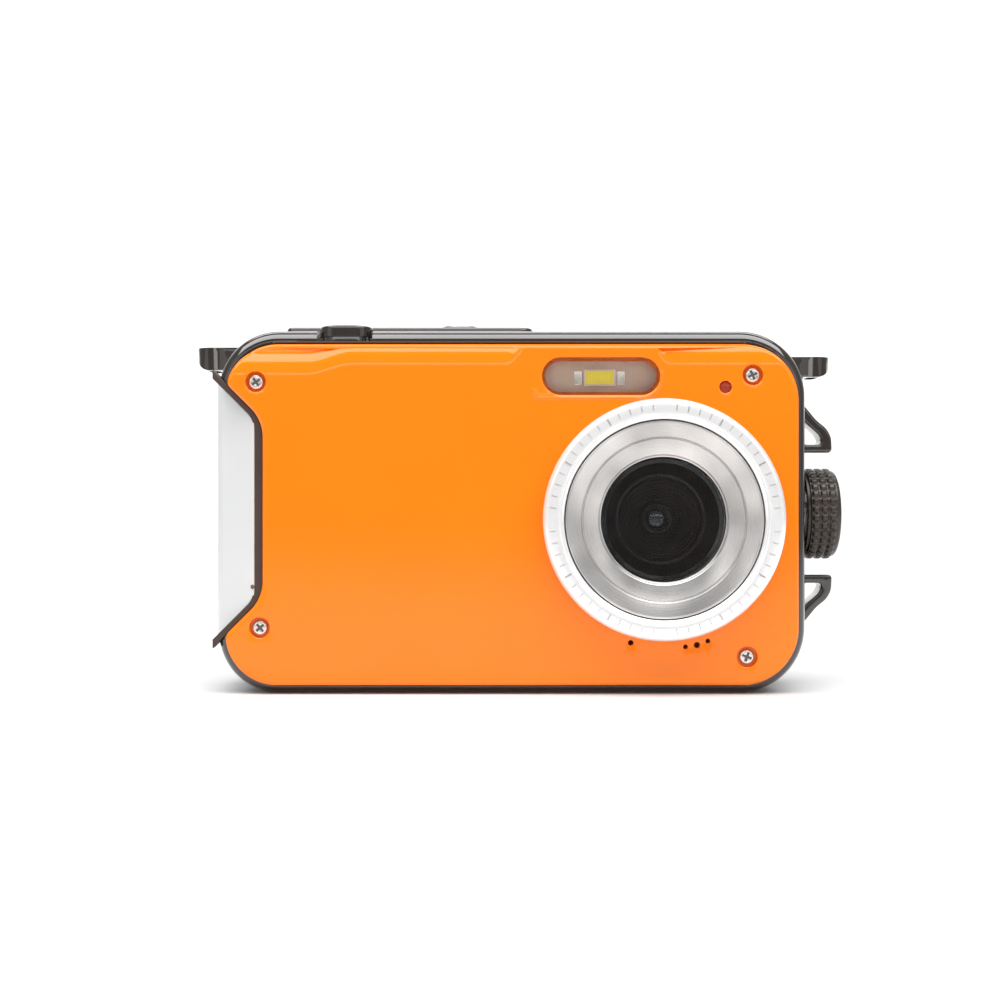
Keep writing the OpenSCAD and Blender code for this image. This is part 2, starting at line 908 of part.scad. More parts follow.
module shutter_button() {
    skirt = dish_floor + shutter_travel + gap;
    shoulder = frame_h + 0.6;
    color("#3b3431") {
        translate([shutter_x, shutter_y, 0]) {
            translate([0, 0, skirt])
                linear_extrude(shoulder - skirt)
                    stadium(0, 0, 3.2, 1.5);
            translate([0, 0, shoulder - e])
                linear_extrude(0.6 + e)
                    stadium(0, 0, 2.6, 1.5);
        }
        translate([shutter_x, stem_y, switch_top + shutter_travel + gap])
            cylinder(r = stem_r, h = skirt - switch_top);
    }
}

module power_button() {
    head = frame_h + 0.3 + key_travel + gap;
    color("#514844")
        translate([power_x, power_y, 0]) {
            translate([0, 0, head])
                cylinder(r = power_r, h = 1.2);
            translate([0, 0, switch_top + key_travel + gap])
                cylinder(r = stem_r, h = head - switch_top);
        }
}

module rear_key(k) {
    color("#514844") {
        slab(y_inner - 0.2, y_back + 0.8)
            stadium(k[1], k[2], k[3], k[4]);
        slab(y_inner - 0.2 - key_travel, y_inner - 0.1)
            stadium(k[1], k[2], k[3] + 0.6, k[4]);
    }
}

front_cover();
mid_frame();
rear_cover();
front_gasket();
rear_gasket();
grip_plate();
grip_trim();
lens_trim_ring();
lens_inner_ring();
port_window();
port_seal();
lens_well();
lens_cell();
front_lens();
rear_lens();
lens_holder();
image_sensor();
main_board();
lamp_window();
lamp_led();
lamp_board();
indicator_lens();
front_screws();
rear_screws();
board_screws();
tripod_bush();
lcd_window();
lcd_panel();
lcd_frame();
key_board();
key_switches();
key_seal();
top_plate();
top_board();
top_switches();
battery_box();
battery();
battery_contacts();
card_socket();
memory_card();
usb_socket();
speaker();
microphone();
screw_insert();
side_cover();
side_cover_seal();
knob_washer();
lock_knob();
knob_screw();
shutter_button();
power_button();
for (k = KEYS)
    rear_key(k);
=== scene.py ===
"""Looks of the compact waterproof camera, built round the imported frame.

Lengths are in millimetres until a mesh is made.
"""

import math

import bmesh
import bpy
import numpy as np
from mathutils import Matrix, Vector
from mathutils.geometry import delaunay_2d_cdt


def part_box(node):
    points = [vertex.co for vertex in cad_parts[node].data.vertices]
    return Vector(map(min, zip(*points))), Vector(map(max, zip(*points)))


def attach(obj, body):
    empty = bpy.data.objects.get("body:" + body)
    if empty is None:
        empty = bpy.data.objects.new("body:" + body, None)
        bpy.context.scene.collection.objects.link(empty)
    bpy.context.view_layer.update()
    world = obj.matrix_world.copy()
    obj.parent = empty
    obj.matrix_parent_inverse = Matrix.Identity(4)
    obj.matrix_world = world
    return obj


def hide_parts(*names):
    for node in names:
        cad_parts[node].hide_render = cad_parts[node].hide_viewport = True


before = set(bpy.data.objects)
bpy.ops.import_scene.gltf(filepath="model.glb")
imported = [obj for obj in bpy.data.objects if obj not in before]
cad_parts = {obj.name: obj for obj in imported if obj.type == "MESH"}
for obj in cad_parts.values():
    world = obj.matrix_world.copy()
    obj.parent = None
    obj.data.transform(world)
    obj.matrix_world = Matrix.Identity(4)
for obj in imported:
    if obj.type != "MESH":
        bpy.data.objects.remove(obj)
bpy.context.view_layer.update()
MM = 0.001

# ---------------------------------------------------------------- frame sizes


def low_high(node):
    """Lowest and highest corner of a CAD node in millimetres."""
    low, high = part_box(node)
    return np.array(low) / MM, np.array(high) / MM


COVER_LOW, COVER_HIGH = low_high("front_cover")
RING_LOW, RING_HIGH = low_high("lens_trim_ring")
REAR_LOW, REAR_HIGH = low_high("rear_cover")
KNOB_LOW, KNOB_HIGH = low_high("lock_knob")
DOOR_LOW, DOOR_HIGH = low_high("side_cover")
PLATE_LOW, PLATE_HIGH = low_high("top_plate")
LAMP_LOW, LAMP_HIGH = low_high("lamp_window")
LED_LOW = low_high("lamp_led")[0]
SHUTTER_LOW, SHUTTER_HIGH = low_high("shutter_button")
LCD_LOW, LCD_HIGH = low_high("lcd_window")
STEM_Y = -6.6
STEM_R = 1.1

Y_FRONT = COVER_LOW[1]
Y_LEDGE = COVER_HIGH[1]
Y_RIM = Y_FRONT + 1.8
Y_BACK = REAR_HIGH[1]
Y_SPLIT = REAR_LOW[1]
LENS_X = (RING_LOW[0] + RING_HIGH[0]) / 2
LENS_Z = (RING_LOW[2] + RING_HIGH[2]) / 2
RING_R = (RING_HIGH[0] - RING_LOW[0]) / 2
RING_FRONT = -RING_LOW[1]
PORT_R = 10.8
FRAME_X = (REAR_LOW[0] - 0.3, REAR_HIGH[0] + 0.3)
FRAME_Z = (REAR_LOW[2] - 0.3, REAR_HIGH[2] + 0.3)
CORNER_L = 10.7
CORNER_R = 11.6
RIM = 1.6
COVER_CORNER_L = CORNER_L - RIM
COVER_CORNER_R = CORNER_R - RIM
SCOOP_X = -53.45
SCOOP_Z = (19.9, 45.1)
SCOOP_R = 7.2
TRIM_W = 1.7
GRIP_EDGE = 1.15
KNOB_Y = (KNOB_LOW[1] + KNOB_HIGH[1]) / 2
KNOB_Z = (KNOB_LOW[2] + KNOB_HIGH[2]) / 2
KNOB_R = (KNOB_HIGH[2] - KNOB_LOW[2]) / 2
DOOR_X = DOOR_LOW[0] + 1.95
LAMP_X = (LAMP_LOW[0] + LAMP_HIGH[0]) / 2
LAMP_Z = (LAMP_LOW[2] + LAMP_HIGH[2]) / 2
LAMP_R = 3.3
LAMP_HALF = 7.05
RIB_PITCH = 0.5
SCREW_SINK_R = 1.8
FRONT_SCREWS = [(-47.4, 54.8), (39.7, 56), (-46.7, 11.7), (38.7, 6.6)]
REAR_SCREWS = [(-45.5, 57.8), (42.5, 57.8), (-45.5, 6.2), (42.5, 6.2)]
INDICATOR = (34.9, 53.9)
MIC_HOLE = (18.3, 9.1)
SPEAKER_HOLES = [(27.9, 8.4, 0.4), (29.9, 8.7, 0.52), (31.8, 9.4, 0.4)]
KEYS = [
    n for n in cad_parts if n.startswith("key_") and n not in ("key_board", "key_switches", "key_seal")]

# ---------------------------------------------------------------- outlines


def arc(cx, cz, r, a0, a1, steps):
    a = np.radians(np.linspace(a0, a1, steps + 1))
    return np.stack([cx + r * np.cos(a), cz + r * np.sin(a)], 1)


def circle(x, z, r, steps=48):
    return arc(x, z, r, 0, 360, steps)[:-1]


def stadium(x, z, r, half, steps=14):
    return np.concatenate([arc(x + half, z, r, -90, 90, steps), arc(x - half, z, r, 90, 270, steps)])


def rounded(x0, x1, z0, z1, rl, rr, steps=18):
    return np.concatenate([
        arc(x0 + rl, z0 + rl, rl, 180, 270, steps),
        arc(x1 - rr, z0 + rr, rr, 270, 360, steps),
        arc(x1 - rr, z1 - rr, rr, 0, 90, steps),
        arc(x0 + rl, z1 - rl, rl, 90, 180, steps)])


def inset(points, d):
    """Moves each point of a counter-clockwise loop inwards by d."""
    before = points - np.roll(points, 1, 0)
    after = np.roll(points, -1, 0) - points
    before /= np.linalg.norm(before, axis=1)[:, None]
    after /= np.linalg.norm(after, axis=1)[:, None]
    tangent = before + after
    tangent /= np.linalg.norm(tangent, axis=1)[:, None]
    normal = np.stack([-tangent[:, 1], tangent[:, 0]], 1)
    side = np.stack([-after[:, 1], after[:, 0]], 1)
    return points + normal * d / np.maximum((normal * side).sum(1), 0.5)[:, None]


def soften(a, b, size, steps=6):
    """Joins the end of run a to the start of run b with a small curve where they meet."""
    corner = (a[-1] + b[0]) / 2
    a, b = (run[np.linalg.norm(run - corner, axis=1) > size] for run in (a, b))
    first = corner + (a[-1] - corner) / np.linalg.norm(a[-1] - corner) * size
    last = corner + (b[0] - corner) / np.linalg.norm(b[0] - corner) * size
    t = np.linspace(0, 1, steps + 1)[:, None]
    return a, (1 - t) ** 2 * first + 2 * t * (1 - t) * corner + t**2 * last, b


def scoop_meets(cx, cz, r, up):
    """Where the scoop's flank crosses the corner arc of centre cx, cz: the point and the arc's angle."""
    k = SCOOP_R * math.sqrt(0.5)
    start = np.array([SCOOP_X + k, SCOOP_Z[1] + k] if up else [SCOOP_X + k, SCOOP_Z[0] - k])
    step = np.array([-1.0, 1.0 if up else -1.0]) / math.sqrt(2)
    f = start - np.array([cx, cz])
    b = f @ step
    t = -b + math.sqrt(b * b - f @ f + r * r)
    point = start + step * t
    return point, math.degrees(math.atan2(point[1] - cz, point[0] - cx)) % 360


def cover_outline(steps=18):
    """Outline of the front cover with the scoop in its left side."""
    x0, x1 = COVER_LOW[0], COVER_HIGH[0]
    z0, z1 = COVER_LOW[2], COVER_HIGH[2]
    rl, rr = COVER_CORNER_L, COVER_CORNER_R
    top, a_top = scoop_meets(x0 + rl, z1 - rl, rl, True)
    low, a_low = scoop_meets(x0 + rl, z0 + rl, rl, False)
    bottom_arc = arc(x0 + rl, z0 + rl, rl, a_low, 270, steps * 2)
    top_arc = arc(x0 + rl, z1 - rl, rl, 90, a_top, steps * 2)
    share_up = np.linspace(0, 1, 14)[:, None]
    share_down = np.linspace(1, 0, 14)[:, None]
    upper_start = arc(SCOOP_X, SCOOP_Z[1], SCOOP_R, 45, 45, 1)[:1]
    lower_end = arc(SCOOP_X, SCOOP_Z[0], SCOOP_R, -45, -45, 1)[:1]
    inner = np.concatenate([
        top + (upper_start - top) * share_up[:-1],
        arc(SCOOP_X, SCOOP_Z[1], SCOOP_R, 45, 0, steps),
        arc(SCOOP_X, SCOOP_Z[0], SCOOP_R, 0, -45, steps),
        low + (lower_end - low) * share_down[1:]])
    top_arc, top_curve, inner = soften(top_arc, inner, 0.9)
    inner, low_curve, bottom_arc = soften(inner, bottom_arc, 0.9)
    return np.concatenate([
        bottom_arc,
        arc(x1 - rr, z0 + rr, rr, 270, 360, steps),
        arc(x1 - rr, z1 - rr, rr, 0, 90, steps),
        top_arc, top_curve, inner, low_curve])


# ---------------------------------------------------------------- mesh helpers


def finish_mesh(name, verts, faces, node=None, body="housing", material=None, sharp=32):
    """Makes an object of vertices in millimetres, merges doubles, orients it and rides it on its body."""
    mesh = bpy.data.meshes.new(name)
    mesh.from_pydata([tuple(v) for v in np.asarray(verts) * MM], [], [tuple(f) for f in faces])
    bm = bmesh.new()
    bm.from_mesh(mesh)
    bmesh.ops.remove_doubles(bm, verts=bm.verts, dist=1e-7)
    bmesh.ops.dissolve_degenerate(bm, dist=1e-8, edges=bm.edges)
    bmesh.ops.recalc_face_normals(bm, faces=bm.faces)
    bm.to_mesh(mesh)
    bm.free()
    obj = bpy.data.objects.new(name, mesh)
    bpy.context.scene.collection.objects.link(obj)
    shade(obj, sharp)
    if material:
        obj.data.materials.append(material)
    if node:
        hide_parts(*([node] if isinstance(node, str) else node))
    if body:
        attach(obj, body)
    return obj


def shade(obj, sharp):
    obj.data.shade_smooth()
    obj.data.set_sharp_from_angle(angle=math.radians(sharp))


def ring_faces(count, rows, wrap_rows=False):
    """Quads between consecutive rings of count points."""
    faces = []
    for j in range(rows if wrap_rows else rows - 1):
        k = (j + 1) % rows
        for i in range(count):
            n = (i + 1) % count
            faces.append((j * count + i, j * count + n, k * count + n, k * count + i))
    return faces


def revolve(name, profile, centre, axis="y", steps=160, **kw):
    """Turns a closed profile of (radius, distance along the axis) round an axis. The front is -Y."""
    a = np.linspace(0, 2 * math.pi, steps, endpoint=False)
    rows = []
    for r, h in profile:
        u, v = centre[0] + r * np.cos(a), centre[1] + r * np.sin(a)
        rows.append(np.stack([u, np.full(steps, -h), v] if axis == "y" else [u, v, np.full(steps, h)], 1))
    return finish_mesh(name, np.concatenate(rows), ring_faces(steps, len(rows), True), **kw)


def round_corners(profile, r, steps=4):
    """Rounds every corner of a closed profile by up to r. A third value on a point sets its own radius."""
    out = []
    n = len(profile)
    for i in range(n):
        p = np.array(profile[i][:2], float)
        a = np.array(profile[i - 1][:2], float) - p
        b = np.array(profile[(i + 1) % n][:2], float) - p
        size = profile[i][2] if len(profile[i]) > 2 else r
        la, lb = np.linalg.norm(a), np.linalg.norm(b)
        size = min(size, la * 0.45, lb * 0.45)
        if size < 1e-4:
            out.append(tuple(p))
            continue
        first, last = p + a / la * size, p + b / lb * size
        for t in np.linspace(0, 1, steps + 1):
            out.append(tuple((1 - t) ** 2 * first + 2 * t * (1 - t) * p + t * t * last))
    return out


def inside(loop, pts):
    """Even-odd test of many points against one loop."""
    x, y = pts[:, 0], pts[:, 1]
    hit = np.zeros(len(pts), bool)
    for (x0, y0), (x1, y1) in zip(loop, np.roll(loop, -1, 0)):
        if y0 == y1:
            continue
        crosses = (y0 > y) != (y1 > y)
        hit ^= crosses & (x < (x1 - x0) * (y - y0) / (y1 - y0) + x0)
    return hit


def open_distance(path, pts):
    """Distance from many points to an open path."""
    best = np.full(len(pts), 1e9)
    for p, q in zip(path[:-1], path[1:]):
        d = q - p
        t = np.clip(((pts - p) @ d) / max(d @ d, 1e-12), 0, 1)
        best = np.minimum(best, np.linalg.norm(pts - p - t[:, None] * d, axis=1))
    return best


def distance(loop, pts):
    """Distance from many points to one closed loop."""
    return open_distance(np.concatenate([loop, loop[:1]]), pts)


def fillet_steps(r, steps):
    """(inset, drop) pairs of a quarter round, from the wall to the face."""
    if r <= 0:
        return [(0.0, 0.0)]
    a = np.linspace(0, math.pi / 2, steps + 1)
    return [(r * (1 - math.cos(t)), r * (1 - math.sin(t))) for t in a]


# how far extra points stay from an edge, in millimetres
CLEAR_OF_EDGE = 0.12


def flat_region(outline, holes, edge, hole_edge, points=None):
    """Triangulates the region inside an outline and outside its holes.

    Returns the 2D points, how far each is dropped by its fillet, the triangles and the outermost loops.
    """
    loops, drops, rims, inner_most = [], [], [], []
    for k, loop in enumerate([outline] + holes):
        rims.append(len(loops))
        for t, drop in hole_edge if k else edge:
            loops.append(inset(loop, -t if k else t))
            drops.append(drop)
        inner_most.append(len(loops) - 1)
    verts, edges, drop_of = [], [], []
    for loop, drop in zip(loops, drops):
        start = len(verts)
        verts += [tuple(p) for p in loop]
        drop_of += [drop] * len(loop)
        edges += [(start + i, start + (i + 1) % len(loop)) for i in range(len(loop))]
    if points is not None and len(points):
        keep = inside(loops[inner_most[0]], points)
        keep &= distance(loops[inner_most[0]], points) > CLEAR_OF_EDGE
        for k in inner_most[1:]:
            keep &= ~inside(loops[k], points) & (distance(loops[k], points) > CLEAR_OF_EDGE)
        points = points[keep]
        verts += [tuple(p) for p in points]
        drop_of += [0.0] * len(points)
    got = delaunay_2d_cdt([Vector(v) for v in verts], edges, [], 0, 1e-7)
    flat = np.array([tuple(v) for v in got[0]])
    tris = np.array(got[2])
    drop = np.array([drop_of[o[0]] if o else 0.0 for o in got[3]])
    centre = flat[tris].mean(1)
    keep = inside(loops[0], centre)
    for k in rims[1:]:
        keep &= ~inside(loops[k], centre)
    return flat, drop, tris[keep], [loops[k] for k in rims]


FACES = {
    "front": lambda u, v, w: np.stack([u, -w, v], 1),
    "back": lambda u, v, w: np.stack([-u, w, v], 1),
    "right": lambda u, v, w: np.stack([w, u, v], 1),
    "top": lambda u, v, w: np.stack([u, v, w], 1),
}


def rounded_slab(name, outline, holes, w0, w1, side, top=0.3, bottom=0.0, hole_top=0.0, steps=6,
                 depth=None, points=None, **kw):
    """A slab between w0 and w1 with rounded edges. side says which way w points.

    depth(points) drops the upper face below w1."""
    place = FACES[side]
    verts, faces = [], []

    def add(v, f):
        base = sum(len(x) for x in verts)
        verts.append(v)
        faces.extend(tuple(i + base for i in face) for face in f)

    flat, drop, tris, rims = flat_region(
        outline, holes, fillet_steps(top, steps), fillet_steps(hole_top, 4), points)
    low = depth(flat) if depth else np.zeros(len(flat))
    add(place(flat[:, 0], flat[:, 1], w1 - drop - low), tris)
    flat, drop, tris, _ = flat_region(outline, holes, fillet_steps(bottom, steps), [(0.0, 0.0)])
    add(place(flat[:, 0], flat[:, 1], w0 + drop), [t[::-1] for t in tris])
    for k, rim in enumerate(rims):
        n = len(rim)
        drop = top if k == 0 else hole_top
        low = depth(rim) if depth else np.zeros(n)
        upper = place(rim[:, 0], rim[:, 1], w1 - drop - low)
        lower = place(rim[:, 0], rim[:, 1], np.full(n, w0 + (bottom if k == 0 else 0)))
        add(np.concatenate([upper, lower]), ring_faces(n, 2))
    return finish_mesh(name, np.concatenate(verts), faces, **kw)


def loft(name, rings, **kw):
    """Closed skin over a row of rings, capped at both ends."""
    count, last = len(rings[0]), len(rings) - 1
    caps = [tuple(range(count)), tuple(range(last * count, (last + 1) * count))]
    return finish_mesh(name, np.concatenate(rings), ring_faces(count, len(rings)) + caps, **kw)


def apply_modifiers(obj):
    graph = bpy.context.evaluated_depsgraph_get()
    mesh = bpy.data.meshes.new_from_object(obj.evaluated_get(graph))
    obj.modifiers.clear()
    obj.data = mesh


def boolean(obj, tool, operation):
    mod = obj.modifiers.new("cut", "BOOLEAN")
    mod.operation = operation
    mod.solver = "EXACT"
    mod.object = tool
    apply_modifiers(obj)
    bpy.data.objects.remove(tool)


def copy_of(node):
    """A new object with a cleaned copy of a CAD node's mesh."""
    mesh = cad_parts[node].data.copy()
    mesh.materials.clear()
    bm = bmesh.new()
    bm.from_mesh(mesh)
    bmesh.ops.remove_doubles(bm, verts=bm.verts, dist=2e-7)
    bmesh.ops.dissolve_degenerate(bm, dist=1e-7, edges=bm.edges)
    bm.to_mesh(mesh)
    bm.free()
    obj = bpy.data.objects.new("copy_" + node, mesh)
    bpy.context.scene.collection.objects.link(obj)
    return obj


def box_tool(low, high):
    low, high = np.array(low, float), np.array(high, float)
    corners = [(x, y, z) for x in (low[0], high[0]) for y in (low[1], high[1]) for z in (low[2], high[2])]
    faces = [(0, 1, 3, 2), (4, 6, 7, 5), (0, 4, 5, 1), (2, 3, 7, 6), (0, 2, 6, 4), (1, 5, 7, 3)]
    return finish_mesh("tool", corners, faces, body=None)


# smallest flat face in square metres, how well it lines up with an axis, and which corners it takes along
FLAT_AREA = 2e-7
FLAT_TURN = 0.99995
NEAR_FLAT = 0.9


def even_normals(obj):
    """Weights the normals by face area, then gives flat faces along the axes their own normal."""
    mod = obj.modifiers.new("normals", "WEIGHTED_NORMAL")
    mod.keep_sharp = True
    mod.weight = 90
    apply_modifiers(obj)
    mesh = obj.data
    normals = [corner.vector.copy() for corner in mesh.corner_normals]
    flat = {}
    for face in mesh.polygons:
        if face.area > FLAT_AREA and max(abs(c) for c in face.normal) > FLAT_TURN:
            for vertex in face.vertices:
                flat.setdefault(vertex, []).append(face.normal.copy())
    for i, corner in enumerate(mesh.loops):
        for normal in flat.get(corner.vertex_index, []):
            if normals[i].dot(normal) > NEAR_FLAT:
                normals[i] = normal
    mesh.normals_split_custom_set([tuple(n) for n in normals])


def bevel(obj, width, segments=3, angle=30):
    mod = obj.modifiers.new("bevel", "BEVEL")
    mod.width = width * MM
    mod.segments = segments
    mod.limit_method = "ANGLE"
    mod.angle_limit = math.radians(angle)
    mod.harden_normals = False
    apply_modifiers(obj)


# ---------------------------------------------------------------- materials


def new_material(name):
    mat = bpy.data.materials.new(name)
    mat.use_nodes = True
    nodes, links = mat.node_tree.nodes, mat.node_tree.links
    shader = nodes["Principled BSDF"]
    where = nodes.new("ShaderNodeTexCoord")
    return mat, nodes, links, shader, where.outputs["Object"]


def put(node, **values):
    """Sets inputs by their names, with _ for a space."""
    for name, value in values.items():
        node.inputs[name.replace("_", " ")].default_value = value


def noise(nodes, links, where, scale, detail=3.0, rough=0.5):
    node = nodes.new("ShaderNodeTexNoise")
    put(node, Scale=scale, Detail=detail, Roughness=rough)
    links.new(where, node.inputs["Vector"])
    return node.outputs["Fac"]


def ramp(nodes, links, value, low, high, low_at=0.3, high_at=0.7):
    """Runs value through a ramp between two colours."""
    node = nodes.new("ShaderNodeValToRGB")
    first, last = node.color_ramp.elements
    first.position, first.color = low_at, low
    last.position, last.color = high_at, high
    links.new(value, node.inputs["Fac"])
    return node.outputs["Color"]


def spread(nodes, links, value, low, high):
    node = nodes.new("ShaderNodeMapRange")
    put(node, To_Min=low, To_Max=high)
    links.new(value, node.inputs["Value"])
    return node.outputs["Result"]


def bump(nodes, links, shader, height, strength, size):
    node = nodes.new("ShaderNodeBump")
    put(node, Strength=strength, Distance=size * MM)
    links.new(height, node.inputs["Height"])
    links.new(node.outputs["Normal"], shader.inputs["Normal"])


def shade_pair(color, vary):
    """A darker and a lighter shade of color."""
    low = [max(0.0, c * (1 - vary)) for c in color] + [1]
    high = [min(1.0, c * (1 + vary)) for c in color] + [1]
    return low, high


def base_look(nodes, links, shader, color, vary, rough, shade_by, rough_by, **at):
    """Lets one pattern vary the base colour and another the roughness, between its low and high value."""
    links.new(ramp(nodes, links, shade_by, *shade_pair(color, vary), **at), shader.inputs["Base Color"])
    links.new(spread(nodes, links, rough_by, *rough), shader.inputs["Roughness"])


def plastic(name, color, rough, vary=0.05, grain=0.0, grain_scale=2500.0, wave=0.05, coat=0.0, specular=0.5):
    """Moulded plastic: slight flow marks in the colour, fine grain and a faint waviness of the gloss."""
    mat, nodes, links, shader, where = new_material(name)
    cloud = noise(nodes, links, where, 60.0, 4.0)
    fine = noise(nodes, links, where, 900.0, 2.0)
    base_look(nodes, links, shader, color, vary, (rough * 0.8, rough * 1.25), cloud, fine)
    if grain:
        bump(nodes, links, shader, noise(nodes, links, where, grain_scale, 2.0, 0.6), grain, 0.05)
    else:
        bump(nodes, links, shader, noise(nodes, links, where, 70.0, 1.0), wave, 0.1)
    put(shader, Coat_Weight=coat, Coat_Roughness=0.03, Specular_IOR_Level=specular)
    return mat


def vector_math(nodes, links, operation, value, by=None):
    node = nodes.new("ShaderNodeVectorMath")
    node.operation = operation
    if by:
        node.inputs[1].default_value = by
    links.new(value, node.inputs[0])
    return node.outputs["Value" if operation == "LENGTH" else 0]


def turned_metal(name, color, rough, centre, lines, strength, vary, metallic=1.0, cloud=0.0):
    """Metal turned on a lathe: fine rings round an axis along Y, with a soft cloud in the finish."""
    mat, nodes, links, shader, where = new_material(name)
    shift = vector_math(nodes, links, "SUBTRACT", where, [c * MM for c in centre])
    flat = vector_math(nodes, links, "MULTIPLY", shift, [1.0, 0.0, 1.0])
    length = vector_math(nodes, links, "LENGTH", flat)
    rings = nodes.new("ShaderNodeTexNoise")
    rings.noise_dimensions = "1D"
    put(rings, Scale=lines * 10, Detail=3.0)
    links.new(length, rings.inputs["W"])
    rings = rings.outputs["Fac"]
    shade_by = noise(nodes, links, where, cloud, 2.0) if cloud else rings
    base_look(nodes, links, shader, color, vary, (rough * 0.7, rough * 1.4), shade_by, rings,
              low_at=0.35, high_at=0.62)
    bump(nodes, links, shader, rings, strength, 0.01)
    put(shader, Metallic=metallic)
    return mat


def metal(name, color, rough):
    mat, nodes, links, shader, where = new_material(name)
    cloud = noise(nodes, links, where, 700.0, 4.0)
    base_look(nodes, links, shader, color, 0.06, (rough * 0.7, rough * 1.4), cloud, cloud)
    bump(nodes, links, shader, cloud, 0.1, 0.01)
    put(shader, Metallic=1.0)
    return mat


def glass(name, color, rough=0.02):
    mat, nodes, links, shader, where = new_material(name)
    cloud = noise(nodes, links, where, 200.0, 2.0)
    base_look(nodes, links, shader, color, 0.01, (rough * 0.8, rough * 1.2), cloud, cloud)
    put(shader, Transmission_Weight=1.0, IOR=1.5)
    return mat


def thin_clear(name, tint, ior, ribs=0.0):
    """Clear sheet that light passes straight through, with a Fresnel gloss. ribs adds milky upright lines."""
    mat, nodes, links, shader, where = new_material(name)
    cloud = noise(nodes, links, where, 300.0, 2.0)
    links.new(spread(nodes, links, cloud, 0.02, 0.06), shader.inputs["Roughness"])
    low, high = shade_pair(tint, 0.02)
    body = ramp(nodes, links, cloud, low, high)
    milky = [c * 0.7 for c in low[:3]] + [1]
    links.new(ramp(nodes, links, cloud, milky, low), shader.inputs["Base Color"])
    through = nodes.new("ShaderNodeBsdfTransparent")
    links.new(body, through.inputs["Color"])
    edge = nodes.new("ShaderNodeFresnel")
    put(edge, IOR=ior)
    share = edge.outputs["Fac"]
    if ribs:
        wave = nodes.new("ShaderNodeTexWave")
        wave.bands_direction = "X"
        put(wave, Scale=2 * math.pi / 20 / (RIB_PITCH * MM), Distortion=0.3)
        links.new(where, wave.inputs["Vector"])
        lines = spread(nodes, links, wave.outputs["Fac"], 0.0, ribs)
        add = nodes.new("ShaderNodeMath")
        add.operation = "ADD"
        add.use_clamp = True
        links.new(share, add.inputs[0])
        links.new(lines, add.inputs[1])
        share = add.outputs[0]
    mix = nodes.new("ShaderNodeMixShader")
    links.new(share, mix.inputs["Fac"])
    links.new(through.outputs[0], mix.inputs[1])
    links.new(shader.outputs[0], mix.inputs[2])
    links.new(mix.outputs[0], nodes["Material Output"].inputs["Surface"])
    return mat


ORANGE = plastic("orange_plastic", (0.92, 0.2, 0.001), 0.1, vary=0.02, wave=0.03, specular=0.42)
BLACK_GLOSS = plastic(
    "black_gloss", (0.016, 0.01, 0.007), 0.07, vary=0.15, wave=0.03, coat=0.8, specular=0.7)
BLACK_MATTE = plastic("black_matte", (0.028, 0.025, 0.023), 0.42, vary=0.15, grain=0.25)
BLACK_KNOB = plastic("black_knob", (0.028, 0.02, 0.013), 0.28, vary=0.2, grain=0.15)
TRIM_BROWN = plastic("trim_brown", (0.05, 0.028, 0.02), 0.4, vary=0.25, grain=0.35, grain_scale=4000)
SILVER = plastic("silver_plate", (0.66, 0.67, 0.67), 0.12, vary=0.02, wave=0.05, coat=0.6)
WELL = plastic("well_black", (0.014, 0.01, 0.009), 0.4, vary=0.2, grain=0.1, specular=0.2)
TRAY = plastic("tray_beige", (0.62, 0.58, 0.49), 0.45, vary=0.05, grain=0.1)
RUBBER = plastic("rubber_seal", (0.03, 0.03, 0.03), 0.6, vary=0.2, grain=0.3)
BOARD = plastic("board_green", (0.02, 0.11, 0.04), 0.35, vary=0.2, grain=0.1)
BOARD_WHITE = plastic("board_white", (0.8, 0.79, 0.74), 0.45, vary=0.04, grain=0.1)
BATTERY = plastic("battery_wrap", (0.06, 0.13, 0.28), 0.35, vary=0.1, grain=0.05)
CARD = plastic("card_plastic", (0.015, 0.015, 0.015), 0.4, vary=0.2, grain=0.1)
KEY_GREY = plastic("key_grey", (0.1, 0.095, 0.09), 0.35, vary=0.1, grain=0.1)
ICON = plastic("icon_pale", (0.75, 0.75, 0.73), 0.4, vary=0.03, grain=0.05)
INDICATOR_MAT = plastic("indicator_red", (0.3, 0.03, 0.012), 0.2, vary=0.1, wave=0.05, specular=0.3)
PHOSPHOR = plastic("led_yellow", (0.97, 0.96, 0.002), 0.4, vary=0.03, grain=0.1)
POLISHED = turned_metal(
    "polished_metal", (0.92, 0.92, 0.92), 0.12, (LENS_X, 0, LENS_Z), 400, 0.08, 0.02, metallic=0.45)
SATIN = turned_metal(
    "satin_metal", (0.52, 0.505, 0.495), 0.28, (LENS_X, 0, LENS_Z), 900, 0.3, 0.26, cloud=75.0)
STEEL = metal("screw_steel", (0.72, 0.7, 0.68), 0.22)
SHEET = metal("sheet_steel", (0.6, 0.6, 0.6), 0.35)
BUTTON_METAL = metal("button_metal", (0.4, 0.4, 0.41), 0.3)
BRASS = metal("brass", (0.72, 0.5, 0.2), 0.25)
CLEAR = thin_clear("clear_window", (0.96, 0.96, 0.96), 1.16)
LENS_GLASS = glass("lens_glass", (0.3, 0.34, 0.4))
# dark steel for the grip pin, and painted shade on the floors of the screw recesses
DARK_STEEL_AND_SHADE = metal("dark_steel_and_recess_shade", (0.16, 0.14, 0.13), 0.4)
LAMP_CLEAR = thin_clear("lamp_clear", (0.96, 0.95, 0.93), 1.2, ribs=0.05)
DISPLAY = plastic("display_glass", (0.008, 0.009, 0.011), 0.05, vary=0.1, wave=0.01, coat=0.6)
PANEL = plastic("display_panel", (0.01, 0.01, 0.012), 0.3, vary=0.1, wave=0.02)
SENSOR = plastic("sensor_dark", (0.02, 0.04, 0.05), 0.1, vary=0.3, wave=0.02, coat=0.5)

